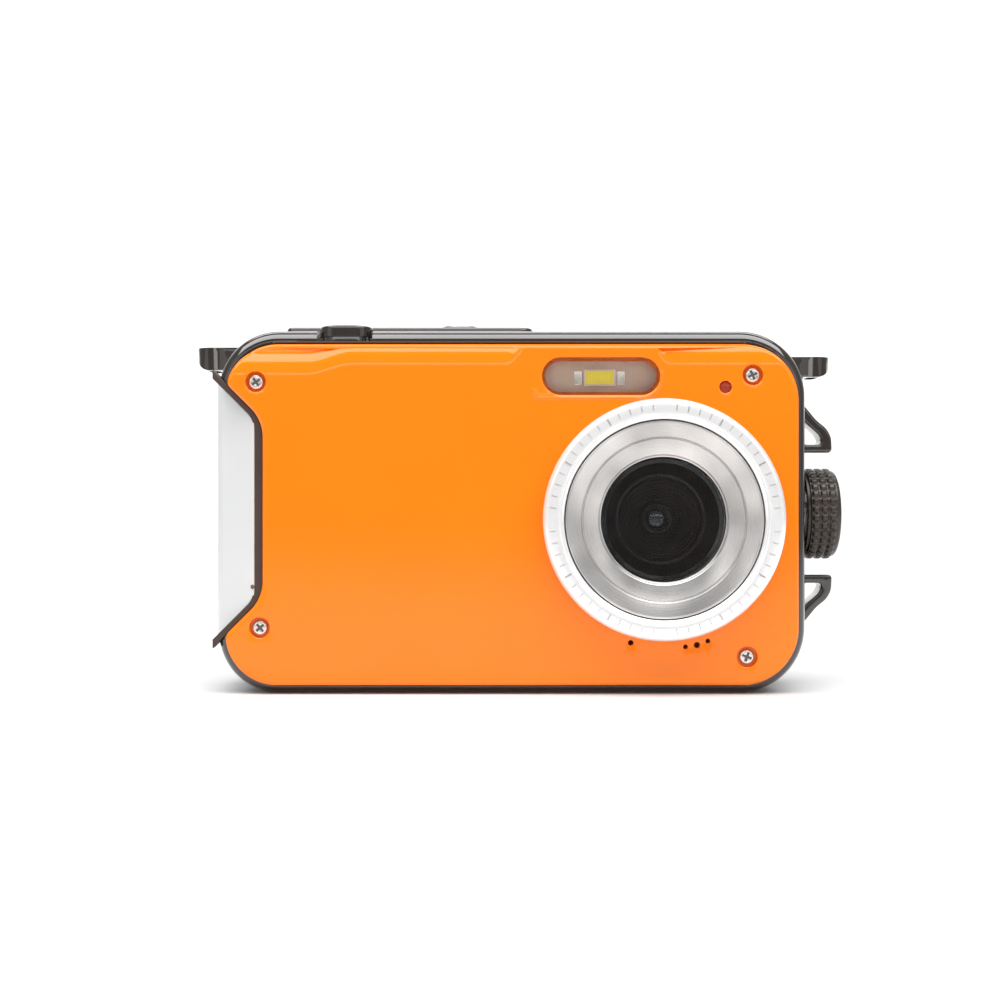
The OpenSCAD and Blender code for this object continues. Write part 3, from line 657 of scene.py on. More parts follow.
CARRIED = {
    "front_gasket": RUBBER, "rear_gasket": RUBBER, "port_seal": RUBBER, "key_seal": RUBBER,
    "side_cover_seal": RUBBER, "rear_lens": LENS_GLASS, "lens_holder": BLACK_MATTE, "image_sensor": SENSOR,
    "main_board": BOARD, "key_board": BOARD, "top_board": BOARD, "lamp_board": BOARD_WHITE,
    "board_screws": STEEL, "lcd_panel": PANEL, "lcd_frame": SHEET, "key_switches": SHEET,
    "top_switches": SHEET, "battery_box": BLACK_MATTE, "battery": BATTERY, "battery_contacts": BRASS,
    "card_socket": SHEET, "memory_card": CARD, "usb_socket": SHEET, "speaker": SHEET, "microphone": SHEET,
    "screw_insert": BRASS, "knob_washer": STEEL, "knob_screw": STEEL, "lens_cell": WELL,
    "tripod_bush": BRASS,
}


def carry_over():
    """Gives the CAD nodes that stay their materials."""
    for node, mat in CARRIED.items():
        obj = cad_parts[node]
        obj.data.materials.clear()
        obj.data.materials.append(mat)


# ---------------------------------------------------------------- front cover


def smooth(t):
    t = np.clip(t, 0, 1)
    return t * t * (3 - 2 * t)


def soft_ramp(t, k):
    """max(t, 0) with its corner rounded over k."""
    return np.where(t > k, t, np.where(t < -k, 0, (t + k) ** 2 / (4 * k)))


CREASE_Z = COVER_HIGH[2] - 3.5
HOOD_LEFT = LAMP_X - 16.65
HOOD_RIGHT = LAMP_X + 12.05
# middle line of the lip that runs under the lamp and round its right end
LIP = np.concatenate(
    [
        [(LAMP_X - 11.7, LAMP_Z - 2.8), (LAMP_X - 11.6, LAMP_Z - 3.5)],
        np.stack(
            [np.linspace(LAMP_X - 11.1, LAMP_X + LAMP_HALF - 0.3, 60), np.full(60, LAMP_Z - LAMP_R - 0.45)],
            1),
        arc(LAMP_X + LAMP_HALF, LAMP_Z, LAMP_R + 0.45, -90, 8, 20)])


def hood_share(x, z):
    """1 on the lamp's hood, 0 on the bevel beside it. Its flanks flare outwards towards the crease."""
    up = np.clip((z - CREASE_Z) / 3.5, 0, 1)
    left = HOOD_LEFT + 1.4 * up
    right = HOOD_RIGHT - 1.65 * up
    return smooth((x - left) / (1.05 + 1.05 * up)) * smooth((right - x) / (0.8 + 0.3 * up))


def cover_depth(p):
    """How far the front face lies behind its front plane: the bevel along the top, less the lamp's lip."""
    x, z = p[:, 0], p[:, 1]
    crease = CREASE_Z - 1.8 * (1 - smooth((x + 38.5) / 8))
    over = z - crease
    bevel_drop = 0.2 * soft_ramp(over, 0.24) + 0.13 * soft_ramp(over - 1.2, 0.4) ** 2
    bead = 0.17 * np.exp(-(open_distance(LIP, p) / 0.24) ** 2)
    return np.minimum(bevel_drop * (1 - hood_share(x, z)), 1.45) - bead


def cover_points():
    """Points of the front face: fine near the top, coarse below."""
    def grid(z0, z1, step):
        z = np.arange(z0, z1, step)
        x = np.arange(COVER_LOW[0], COVER_HIGH[0], step)
        a, b = np.meshgrid(x, z)
        a = a + (np.arange(len(z)) % 2)[:, None] * step / 2
        return np.stack([a.ravel(), b.ravel()], 1)

    tangent = np.gradient(LIP, axis=0)
    tangent /= np.linalg.norm(tangent, axis=1)[:, None]
    side = np.stack([-tangent[:, 1], tangent[:, 0]], 1)
    bead = [LIP + side * d for d in (-0.45, -0.3, -0.15, 0.0, 0.15, 0.3)]
    fine = grid(51, COVER_HIGH[2], 0.42)
    fine = fine[open_distance(LIP, fine) > 0.6]
    return np.concatenate([grid(COVER_LOW[2], 50.5, 2.5), fine] + bead)


def front_cover():
    holes = [stadium(LAMP_X, LAMP_Z, LAMP_R, LAMP_HALF)]
    holes += [circle(x, z, SCREW_SINK_R, 40) for x, z in FRONT_SCREWS]
    holes += [circle(*INDICATOR, 1.06, 28), circle(*MIC_HOLE, 0.47, 20)]
    holes += [circle(x, z, r, 20) for x, z, r in SPEAKER_HOLES]
    holes.append(circle(LENS_X, LENS_Z, 17.4, 120))
    cover = rounded_slab(
        "front_cover_shell", cover_outline(), holes, -Y_LEDGE, -Y_FRONT, "front", top=0.7, hole_top=0.22,
        steps=8, depth=cover_depth, points=cover_points(), node="front_cover", material=ORANGE)
    for i, (x, z) in enumerate(FRONT_SCREWS):
        seat = rounded_slab(
            "screw_seat_%d" % i, circle(x, z, SCREW_SINK_R + 0.1, 32), [], -Y_FRONT - 2.2, -Y_FRONT - 1.4,
            "front", top=0.0, material=ORANGE)
    ledge = rounded_slab(
        "lamp_ledge", stadium(LAMP_X, LAMP_Z, LAMP_R + 0.1, LAMP_HALF),
        [stadium(LAMP_X, LAMP_Z, LAMP_R - 0.6, LAMP_HALF)], -Y_FRONT - 2.0, -Y_FRONT - 1.2, "front",
        top=0.0, material=ORANGE)


# ---------------------------------------------------------------- frame and rear cover


def envelope():
    """Closed body with rounded edges that trims the CAD frame: the edge is wider at the top."""
    grow = 0.03
    inner = rounded(
        COVER_LOW[0] - 0.05, COVER_HIGH[0] + 0.05, COVER_LOW[2] - 0.05, COVER_HIGH[2] + 0.05,
        COVER_CORNER_L, COVER_CORNER_R, 24)
    outer = rounded(
        FRAME_X[0] - grow, FRAME_X[1] + grow, FRAME_Z[0] - grow, FRAME_Z[1] + grow, CORNER_L + grow,
        CORNER_R + grow, 24)
    rings = []
    run = 2.3
    for a in np.radians(np.linspace(0, 90, 13)):
        mix = math.sin(a)
        p = inner * (1 - mix) + outer * mix
        rings.append(
            np.stack([p[:, 0], np.full(len(p), Y_RIM - grow + run * (1 - math.cos(a))), p[:, 1]], 1))
    for y in (Y_SPLIT - 0.35, Y_SPLIT + 1):
        rings.append(np.stack([outer[:, 0], np.full(len(outer), y), outer[:, 1]], 1))
    body = loft("envelope", rings, body=None)
    for low, high in (((-62, 0.5, 57.4), (-50.5, 9.5, 62.8)), ((46.5, 0.5, 54), (58, 9.5, 61))):
        tool = box_tool(low, high)
        bevel(tool, 0.5, 3)
        boolean(body, tool, "UNION")
    return body


def mid_frame():
    body = copy_of("mid_frame")
    boolean(body, envelope(), "INTERSECT")
    body.name = "frame_shell"
    shade(body, 28)
    even_normals(body)
    body.data.materials.clear()
    body.data.materials.append(BLACK_GLOSS)
    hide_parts("mid_frame")
    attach(body, "housing")


def key_outline(key, less):
    """Outline of a back key as seen from behind. Its half height is less by less."""
    low, high = low_high(key)
    r = (high[2] - low[2]) / 2 - less
    half = (high[0] - low[0]) / 2 - 0.6 - r
    return stadium(-(low[0] + high[0]) / 2, (low[2] + high[2]) / 2, r, max(half, 0.001))


def rear_cover():
    outline = rounded(
        -REAR_HIGH[0], -REAR_LOW[0], REAR_LOW[2], REAR_HIGH[2], CORNER_R - 0.3, CORNER_L - 0.3, 24)
    holes = [circle(-x, z, SCREW_SINK_R, 36) for x, z in REAR_SCREWS]
    holes.append(
        rounded(-LCD_HIGH[0] - 0.1, -LCD_LOW[0] + 0.1, LCD_LOW[2] - 0.1, LCD_HIGH[2] + 0.1, 1.0, 1.0, 6))
    holes += [key_outline(key, 0.5) for key in KEYS]
    cover = rounded_slab(
        "rear_shell", outline, holes, Y_SPLIT, Y_BACK, "back", top=1.3, hole_top=0.15, steps=8,
        node="rear_cover", material=BLACK_MATTE)
    seats = [
        rounded_slab(
            "seat", circle(-x, z, SCREW_SINK_R + 0.1, 32), [], Y_BACK - 1.9, Y_BACK - 1.25, "back", top=0.0,
            body=None)
        for x, z in REAR_SCREWS]
    seats = join("rear_screw_seats", seats, BLACK_MATTE)


# ---------------------------------------------------------------- grip side


def scoop_edge(z, d):
    """X of the scoop's edge at height z, the scoop shrunk by d."""
    k = math.sqrt(0.5)
    r = SCOOP_R - d
    middle = np.clip(z, SCOOP_Z[0], SCOOP_Z[1])
    off = np.abs(z - middle)
    on_arc = SCOOP_X + np.sqrt(np.maximum(r * r - off * off, 0))
    return np.where(off < r * k, on_arc, SCOOP_X + 2 * r * k - off)


def grip_plate():
    """Silver plate in the scoop. It slants back from the trim strip and rounds into the camera's side."""
    low, high = low_high("grip_plate")
    front_x = SCOOP_X + SCOOP_R - TRIM_W
    path = np.array(
        round_corners(
            [
                (front_x + 0.02, Y_RIM - 0.02, 0), (low[0] + 0.75, Y_RIM + 5.4, 3.4),
                (low[0] + 0.02, Y_RIM + 8.8, 2.5), (low[0] + 0.02, high[1] - 0.03, 0)],
            0, 14))[:-1]
    path = np.concatenate([path, [[low[0] + 0.02, high[1] - 0.03]]])
    run = np.concatenate([[0], np.cumsum(np.linalg.norm(np.diff(path, axis=0), axis=1))])
    half = (SCOOP_Z[1] - SCOOP_Z[0]) / 2 + (SCOOP_X - low[0] + 2 * (SCOOP_R - GRIP_EDGE) * math.sqrt(0.5))
    mid = (SCOOP_Z[0] + SCOOP_Z[1]) / 2
    zs = mid + (half - 0.35) * np.sin(np.linspace(-math.pi / 2, math.pi / 2, 121))
    across = 60
    verts = []
    for z in zs:
        edge = float(scoop_edge(np.array(z), GRIP_EDGE))
        start = np.interp(-min(edge, front_x), -path[:, 0], run)
        t = start + (run[-1] - start) * np.linspace(0, 1, across)
        verts += [(np.interp(u, run, path[:, 0]), np.interp(u, run, path[:, 1]), z) for u in t]
    rows = len(zs)
    faces = [(j * across + i, j * across + i + 1, (j + 1) * across + i + 1, (j + 1) * across + i)
             for j in range(rows - 1) for i in range(across - 1)]
    plate = finish_mesh("grip_shell", verts, faces, node="grip_plate", material=SILVER, sharp=40)
    thick = plate.modifiers.new("thick", "SOLIDIFY")
    thick.thickness = 1.0 * MM
    thick.offset = -1
    apply_modifiers(plate)
    bevel(plate, 0.15, 2, 50)
    shade(plate, 35)


def grip_trim():
    """Strip along the scoop's edge, narrower on the two slanting flanks."""
    k = math.sqrt(0.5)

    def path(d_side, d_flank):
        pts = []
        for t in np.linspace(45, 0, 19):
            r = SCOOP_R - (d_side + (d_flank - d_side) * smooth(t / 45.0))
            pts.append(
                (SCOOP_X + r * math.cos(math.radians(t)), SCOOP_Z[1] + r * math.sin(math.radians(t))))
        end_x = -55.3
        r = SCOOP_R - d_flank
        first = (end_x, SCOOP_Z[1] + 2 * r * k - (end_x - SCOOP_X))
        upper = [first] + pts
        lower = [(x, SCOOP_Z[0] + SCOOP_Z[1] - z) for x, z in upper[::-1]]
        return upper + lower

    outer = path(0.02, 0.02)
    inner = path(TRIM_W, GRIP_EDGE)
    loop = np.array(outer + inner[::-1])
    area = 0.5 * np.sum(loop[:, 0] * np.roll(loop[:, 1], -1) - np.roll(loop[:, 0], -1) * loop[:, 1])
    if area < 0:
        loop = loop[::-1]
    strip = rounded_slab(
        "trim_strip", loop, [], -Y_RIM - 3.3, -Y_RIM - 0.02, "front", top=0.3, steps=4, node="grip_trim",
        material=TRIM_BROWN, sharp=50)


# ---------------------------------------------------------------- lens


def quarter_dome(r, z, height, start, count):
    """Points of a shallow dome from its rim to its middle."""
    a = np.linspace(start, 1, count) * math.pi / 2
    return [(max(r * math.cos(t), 0.001), z + height * math.sin(t)) for t in a]


def lens_group():
    f = RING_FRONT
    trim = round_corners(
        [
            (17.35, 14.0, 0.02), (RING_R - 0.25, 14.0, 0.1), (RING_R - 0.02, 14.7, 0.3),
            (RING_R - 0.02, f - 0.75, 0.3), (RING_R - 0.55, f, 0.25), (18.35, f, 0.1),
            (18.3, f - 0.12, 0.03), (18.15, f - 0.12, 0.03), (18.1, f, 0.05), (17.7, f, 0.2),
            (17.35, f - 0.35, 0.1)],
        0.1)
    obj = revolve(
        "trim_ring", trim, (LENS_X, LENS_Z), steps=220, node="lens_trim_ring", material=POLISHED, sharp=50)
    inner = round_corners(
        [
            (PORT_R + 0.1, 13, 0), (15.2, 13, 0), (15.2, 10.6, 0), (17.1, 10.6, 0), (17.15, f - 0.6, 0.12),
            (16.8, f - 0.55, 0.12), (14.35, f - 1.5, 0.1), (14.3, f - 1.75, 0.05), (14.1, f - 1.75, 0.05),
            (14.0, f - 1.6, 0.1), (11.35, f - 2.35, 0.15), (11.1, f - 2.75, 0.1),
            (PORT_R + 0.1, f - 2.8, 0.05)],
        0.1)
    obj = revolve(
        "inner_ring", inner, (LENS_X, LENS_Z), steps=220, node="lens_inner_ring", material=SATIN, sharp=50)
    window = [
        (0.001, 14.9), (PORT_R - 0.25, 14.9), (PORT_R - 0.1, 15.05), (PORT_R - 0.1, 15.8),
        (PORT_R - 0.3, 16.0), (0.001, 16.0)]
    obj = revolve(
        "cover_glass", window, (LENS_X, LENS_Z), steps=120, node="port_window", material=CLEAR)
    well = [(PORT_R - 0.1, 14.7), (9.9, 14.7), (9.75, 14.5), (8.0, 11.1), (7.5, 10.95), (7.35, 10.75)]
    r, h = 7.3, 10.4
    for _ in range(9):
        r, h = r - 0.5, h - 0.62
        well += [(r + 0.42, h + 0.62), (r + 0.12, h + 0.1), (r + 0.02, h + 0.06)]
    well += [
        (2.6, 4.8), (2.6, 4.5), (5.2, 4.5), (PORT_R - 0.1, 9), (PORT_R - 0.1, 10.8), (15, 10.8), (15, 12.8),
        (PORT_R - 0.1, 12.8)]
    obj = revolve(
        "well", round_corners(well, 0.06, 2), (LENS_X, LENS_Z), steps=140, node="lens_well", material=WELL,
        sharp=40)
    dome = [(0.001, 3.55), (1.78, 3.55), (1.8, 3.8)] + quarter_dome(1.8, 3.85, 0.6, 0, 8)
    obj = revolve("first_element", dome, (LENS_X, LENS_Z), steps=64, node="front_lens", material=LENS_GLASS)


def ring_marks():
    """Plain index marks: thin bars that stand a little proud of the polished ring."""
    verts, faces = [], []
    r0, r1 = 18.9, 19.9
    for i in range(60):
        if i % 15 == 0:
            continue
        a = 2 * math.pi * i / 60
        w = 0.07 if i % 5 else 0.14
        inner = r0 - (0.25 if i % 5 == 0 else 0)
        ca, sa = math.cos(a), math.sin(a)
        base = len(verts)
        for h in (-0.015, 0.03):
            for r, s in ((inner, -w), (r1, -w), (r1, w), (inner, w)):
                verts.append((LENS_X + r * ca - s * sa, -(RING_FRONT + h), LENS_Z + r * sa + s * ca))
        faces += [tuple(base + k for k in f) for f in
                  ((4, 5, 6, 7), (3, 2, 1, 0), (0, 1, 5, 4), (1, 2, 6, 5), (2, 3, 7, 6), (3, 0, 4, 7))]
    obj = finish_mesh("ring_marks", verts, faces, material=SATIN)


# ---------------------------------------------------------------- lamp


def lamp():
    """Ribbed window, LED with its white housing and pads."""
    outline = stadium(LAMP_X, LAMP_Z, LAMP_R - 0.1, LAMP_HALF)

    def ribs(p):
        return 0.07 * (1 - np.cos(2 * math.pi * (p[:, 0] - LAMP_X) / RIB_PITCH)) / 2

    xs = np.arange(LAMP_X - 11, LAMP_X + 11, RIB_PITCH / 6)
    zs = np.linspace(LAMP_Z - 3.1, LAMP_Z + 3.1, 9)
    a, b = np.meshgrid(xs, zs)
    pts = np.stack([a.ravel(), b.ravel()], 1)
    window = rounded_slab(
        "lamp_lens", outline, [], -Y_FRONT - 1.2, -Y_FRONT - 0.55, "front", top=0.12, steps=3, depth=ribs,
        points=pts, node="lamp_window", material=LAMP_CLEAR, sharp=60)
    tub = rounded_slab(
        "lamp_tub", stadium(LAMP_X, LAMP_Z, LAMP_R + 0.5, LAMP_HALF),
        [stadium(LAMP_X, LAMP_Z, LAMP_R - 0.25, LAMP_HALF)], -Y_FRONT - 4.7, -Y_FRONT - 1.25, "front",
        top=0.0, material=ORANGE)
    tray = rounded_slab(
        "lamp_tray", stadium(LAMP_X, LAMP_Z, LAMP_R + 0.4, LAMP_HALF), [], -Y_FRONT - 4.85, -Y_FRONT - 4.65,
        "front", top=0.0, material=TRAY)
    y = -LED_LOW[1]
    case = rounded_slab(
        "led_case", rounded(LAMP_X - 2.85, LAMP_X + 2.85, LAMP_Z - 1.5, LAMP_Z + 1.5, 0.2, 0.2, 3), [],
        y - 1.0, y - 0.1, "front", top=0.08, steps=2, node="lamp_led", material=BOARD_WHITE)
    glow = rounded_slab(
        "led_phosphor", rounded(LAMP_X - 2.45, LAMP_X + 2.45, LAMP_Z - 1.2, LAMP_Z + 1.2, 0.15, 0.15, 3),
        [], y - 0.5, y - 0.02, "front", top=0.05, steps=2, material=PHOSPHOR)
    for s in (-1, 1):
        x = LAMP_X + s * 3.75
        pad = rounded_slab(
            "led_pad_%s" % ("left" if s < 0 else "right"),
            rounded(x - 0.75, x + 0.75, LAMP_Z - 1.3, LAMP_Z + 1.3, 0.2, 0.2, 3), [], y - 1.0, y - 0.75,
            "front", top=0.1, steps=2, material=STEEL)


def grille():
    """Dark mesh behind the microphone and loudspeaker holes."""
    pieces = [
        rounded_slab(
            "mesh", circle(x, z, r + 0.3, 24), [], -Y_FRONT - 2.3, -Y_FRONT - 1.9, "front", top=0.0,
            body=None)
        for x, z, r in [(*MIC_HOLE, 0.47)] + SPEAKER_HOLES]
    obj = join("grille_mesh", pieces, RUBBER)
    pin = revolve(
        "grip_pin",
        [(0.001, -Y_RIM - 1.0), (0.42, -Y_RIM - 1.0), (0.42, -Y_RIM - 0.1), (0.3, -Y_RIM), (0.001, -Y_RIM)],
        (SCOOP_X + SCOOP_R - TRIM_W - 0.2, SCOOP_Z[0] - 1.1), steps=28, material=DARK_STEEL_AND_SHADE)


def indicator():
    z = -Y_FRONT - 0.35
    dome = [(0.001, -Y_FRONT - 2.4), (0.98, -Y_FRONT - 2.4), (1.0, z)] + quarter_dome(1, z, 0.2, 0.1, 6)
    obj = revolve("indicator_dot", dome, INDICATOR, steps=40, node="indicator_lens", material=INDICATOR_MAT)


# ---------------------------------------------------------------- screws


def join(name, pieces, material, node=None, body="housing"):
    """Puts the meshes of several pieces into one."""
    bm = bmesh.new()
    for piece in pieces:
        bm.from_mesh(piece.data)
        bpy.data.objects.remove(piece)
    mesh = bpy.data.meshes.new(name)
    bm.to_mesh(mesh)
    bm.free()
    obj = bpy.data.objects.new(name, mesh)
    bpy.context.scene.collection.objects.link(obj)
    mesh.materials.append(material)
    shade(obj, 35)
    if node:
        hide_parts(node)
    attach(obj, body)
    return obj


def cross(x, z, reach, half, turn):
    """Plus-shaped loop."""
    quarter = [(reach, -half), (reach, half), (half, half)]
    pts = []
    for q in range(4):
        a = turn + q * math.pi / 2
        pts += [
            (x + u * math.cos(a) - v * math.sin(a), z + u * math.sin(a) + v * math.cos(a))
            for u, v in quarter]
    return np.array(pts)


def screw_group(name, node, places, y, side, length):
    """Pan head screws with a cross recess, floored with a dark sheet of painted shade."""
    sign = 1 if side == "front" else -1
    face = -y if side == "front" else y
    pieces, recess_shade_floors = [], []

    def part(kind, loop, low, high, holes=(), **kw):
        return rounded_slab(kind, loop, list(holes), face + low, face + high, side, body=None, **kw)

    for x, z in places:
        u, turn = sign * x, (x * 7 + z * 3) % 1.5
        disc = circle(u, z, 1.34, 40)
        recess = [cross(u, z, 0.85, 0.22, turn)]
        pieces += [
            part("head", disc, 0.4, 0.9, recess, top=0.4, hole_top=0.05, steps=5),
            part("under", disc, 0, 0.42, top=0.02),
            part("shank", circle(u, z, 0.72, 24), -length, 0, top=0.02)]
        # the dark steel floor set into each cross recess is painted shade, not a darker metal
        recess_shade_floors.append(part("floor", cross(u, z, 0.84, 0.21, turn), 0.43, 0.5, top=0.0))
    obj = join(name, pieces, STEEL, node)
    obj = join(name + "_recess_shade", recess_shade_floors, DARK_STEEL_AND_SHADE)


# ---------------------------------------------------------------- knob and side cover


def knob():
    """Knurled knob: three rows of rounded square studs, a collar inside and a dished outer face."""
    x0, x1 = KNOB_LOW[0], KNOB_HIGH[0]
    teeth, per, rows = 34, 10, 3
    collar = x0 + 0.75
    end = x1 - 0.9
    pitch = (end - collar) / rows
    count = teeth * per
    a = np.linspace(0, 2 * math.pi, count, endpoint=False)
    cell = np.abs(((np.arange(count) % per) + 0.5) / per * 2 - 1)
    tooth_height = smooth((0.95 - cell) / 0.5)
    rings = []

    def ring(x, r):
        r = np.broadcast_to(r, (count,))
        rings.append(np.stack([np.full(count, x), KNOB_Y + r * np.cos(a), KNOB_Z + r * np.sin(a)], 1))

    ring(x0, 3.0)
    ring(x0, KNOB_R - 1.0)
    ring(x0 + 0.1, KNOB_R - 0.55)
    ring(x0 + 0.4, KNOB_R - 0.5)
    ring(x0 + 0.46, KNOB_R - 0.95)
    ring(x0 + 0.64, KNOB_R - 0.95)
    ring(x0 + 0.7, KNOB_R - 0.35)
    for row in range(rows):
        for k in range(9):
            t = (k + 0.5) / 9
            across = smooth((0.95 - abs(t * 2 - 1)) / 0.5)
            ring(collar + (row + t) * pitch, KNOB_R - 0.42 + 0.38 * tooth_height * across)
    for t in np.linspace(0, 1, 6):
        ring(end + 0.9 * math.sin(t * math.pi / 2), KNOB_R - 0.42 - 1.1 * (1 - math.cos(t * math.pi / 2)))
    for r, x in ((KNOB_R - 2.2, x1), (KNOB_R - 2.5, x1 - 0.15), (KNOB_R - 2.7, x1 - 0.6),
                 (KNOB_R - 3.2, x1 - 0.75), (0.01, x1 - 0.8)):
        ring(x, r)
    body = loft("knurled_knob", rings, body="lock_knob", node="lock_knob", material=BLACK_KNOB, sharp=60)
    bar = rounded_slab(
        "knob_grip_bar", stadium(KNOB_Y, KNOB_Z, 1.0, 3.9), [], x1 - 1.0, x1 - 0.05, "right", top=0.4,
        steps=5, body="lock_knob", material=BLACK_KNOB)


# the triangular loops on the side cover: X from the cover's face, height from the knob's axis
LOOP_OUTER = [(-0.3, 11.1), (5.5, 11.1), (5.9, 11.6), (5.8, 14.0), (4.9, 15.6), (3.1, 17.0), (1.8, 18.6),
              (0.3, 20.4), (-0.3, 20.6)]
LOOP_INNER = [(0.7, 12.6), (3.7, 12.6), (4.0, 13.4), (3.4, 14.5), (2.0, 15.7), (0.95, 16.7), (0.7, 16.7)]


def loop_curve(points, r, s):
    """A loop's rounded curve in X and Z, upper for s = 1 and lower for s = -1."""
    loop = np.array(round_corners([(DOOR_X + x, z) for x, z in points], r, 5))
    loop[:, 1] = KNOB_Z + s * loop[:, 1]
    return loop if s > 0 else loop[::-1]


def side_cover():
    y0, y1 = DOOR_LOW[1], DOOR_HIGH[1]
    z0, z1 = DOOR_LOW[2], DOOR_HIGH[2]
    plate = rounded_slab(
        "side_cover_plate", rounded(y0, y1, z0, z1, 1.2, 1.2, 8), [circle(KNOB_Y, KNOB_Z, 2.2, 32)],
        DOOR_LOW[0], DOOR_X, "right", top=0.5, steps=5, body="side_cover", node="side_cover",
        material=BLACK_GLOSS)
    for s in (-1, 1):
        piece = rounded_slab(
            "loop_%s" % ("lower" if s < 0 else "upper"), loop_curve(LOOP_OUTER, 1.0, s),
            [loop_curve(LOOP_INNER, 0.7, s)], -2.6, 2.6, "front", top=0.45, bottom=0.45,
            hole_top=0.3, steps=5, body="side_cover", material=BLACK_GLOSS)


# ---------------------------------------------------------------- buttons and back


def buttons():
    x = (SHUTTER_LOW[0] + SHUTTER_HIGH[0]) / 2
    y = SHUTTER_LOW[1] + 3.2
    top = SHUTTER_HIGH[2]
    grid = np.stack(
        np.meshgrid(np.arange(x - 4.6, x + 4.7, 0.4), np.arange(y - 3.2, y + 3.3, 0.4)), -1).reshape(-1, 2)
    skirt = top - 2.2
    half_x = 4.7
    half_y = 3.2

    def dome(p):
        return 0.3 * ((p[:, 0] - x) / half_x) ** 2 + 0.15 * ((p[:, 1] - y) / half_y) ** 2

    lid = rounded_slab(
        "lid", stadium(x, y, 3.2, 1.5, 20), [], top - 0.7, top, "top", top=0.4, steps=8, depth=dome,
        points=grid, body=None)
    wall = rounded_slab(
        "wall", stadium(x, y, 3.2, 1.5, 20), [stadium(x, y, 2.95, 1.5, 20)], skirt, top - 0.69, "top",
        top=0.0, bottom=0.08, body=None)
    stem = rounded_slab(
        "stem", circle(x, STEM_Y, STEM_R, 24), [], SHUTTER_LOW[2], top - 0.69, "top", top=0.05, body=None)
    obj = join("shutter_cap", [lid, wall, stem], BLACK_GLOSS, "shutter_button", "shutter_button")
    collar = rounded_slab(
        "shutter_collar", stadium(x, y, 2.88, 1.5, 20), [circle(x, STEM_Y, STEM_R + 0.15, 24)],
        skirt - 0.92, top - 1.65, "top", top=0.05, material=BLACK_GLOSS)
    low, high = low_high("power_button")
    obj = revolve(
        "power_cap",
        round_corners(
            [
                (0.001, high[2] - 0.25), (1.6, high[2] - 0.25, 0.3), (2.2, high[2], 0.3),
                (3.2, high[2], 0.35), (3.2, high[2] - 1.2), (0.001, high[2] - 1.2)],
            0.1),
        ((low[0] + high[0]) / 2, (low[1] + high[1]) / 2), axis="z", steps=80, body="power_button",
        node="power_button", material=BUTTON_METAL, sharp=40)
    plate = rounded_slab(
        "top_plate_shell",
        rounded(PLATE_LOW[0], PLATE_HIGH[0] - 0.4, PLATE_LOW[1], PLATE_HIGH[1], 1.5, 2.5, 8),
        [circle((low[0] + high[0]) / 2, (low[1] + high[1]) / 2, 3.3, 48)], PLATE_LOW[2], PLATE_HIGH[2],
        "top", top=0.6, hole_top=0.2, node="top_plate", material=BLACK_GLOSS)


def rear_keys():
    for key in KEYS:
        low, high = low_high(key)
        cap = rounded_slab(
            key + "_cap", key_outline(key, 0.6), [], low[1] + 0.6, high[1], "back", top=0.45, steps=6,
            body=key, node=key, material=KEY_GREY)


def bar(u, v, wide, high, turn=0.0):
    """Small rounded bar."""
    loop = rounded(
        -wide / 2, wide / 2, -high / 2, high / 2, min(wide, high) * 0.4, min(wide, high) * 0.4, 3)
    c, t = math.cos(turn), math.sin(turn)
    return np.stack([u + loop[:, 0] * c - loop[:, 1] * t, v + loop[:, 0] * t + loop[:, 1] * c], 1)


def icon_shapes(key):
    """Plain signs for the back keys: outline and holes of each stroke, round the key's middle."""
    if key == "key_zoom_in":
        return [(cross(0, 0, 1.0, 0.17, 0.0), [])]
    if key == "key_zoom_out":
        return [(bar(0, 0, 2.0, 0.34), [])]
    if key == "key_play":
        return [(np.array([(-0.7, -0.9), (0.95, 0.0), (-0.7, 0.9)]), [])]
    if key == "key_menu":
        return [(bar(0, v, 2.0, 0.28), []) for v in (-0.7, 0.0, 0.7)]
    if key == "key_mode":
        return [(circle(0, 0, 0.95, 28), [circle(0, 0, 0.65, 28)])]
    if key == "key_ok":
        return [(circle(0, 0, 1.5, 36), [circle(0, 0, 1.2, 36)])]
    return [
        (rounded(-0.85, 0.85, -0.85, 0.85, 0.2, 0.2, 3), [rounded(-0.55, 0.55, -0.55, 0.55, 0.1, 0.1, 3)])]


def key_icons():
    """Signs that stand a little proud of the keys."""
    for key in KEYS:
        low, high = low_high(key)
        x, z = (low[0] + high[0]) / 2, (low[2] + high[2]) / 2
        shift = np.array([-x, z])
        strokes = [
            rounded_slab(
                "stroke", loop + shift, [h + shift for h in holes], high[1] - 0.2, high[1] + 0.02, "back",
                top=0.02, steps=1, body=None)
            for loop, holes in icon_shapes(key)]
        obj = join(key + "_sign", strokes, ICON, body=key)


def display():
    glassy = rounded_slab(
        "display_cover", rounded(-LCD_HIGH[0], -LCD_LOW[0], LCD_LOW[2], LCD_HIGH[2], 0.9, 0.9, 6), [],
        LCD_LOW[1], LCD_HIGH[1], "back", top=0.15, steps=3, node="lcd_window", material=DISPLAY)


# ---------------------------------------------------------------- stage


def area_light(name, place, target, size, energy, size_y):
    data = bpy.data.lights.new(name, "AREA")
    data.energy = energy
    data.shape = "RECTANGLE"
    data.size = size
    data.size_y = size_y
    obj = bpy.data.objects.new(name, data)
    obj.location = place
    obj.rotation_euler = (Vector(target) - Vector(place)).to_track_quat("-Z", "Y").to_euler()
    bpy.context.scene.collection.objects.link(obj)


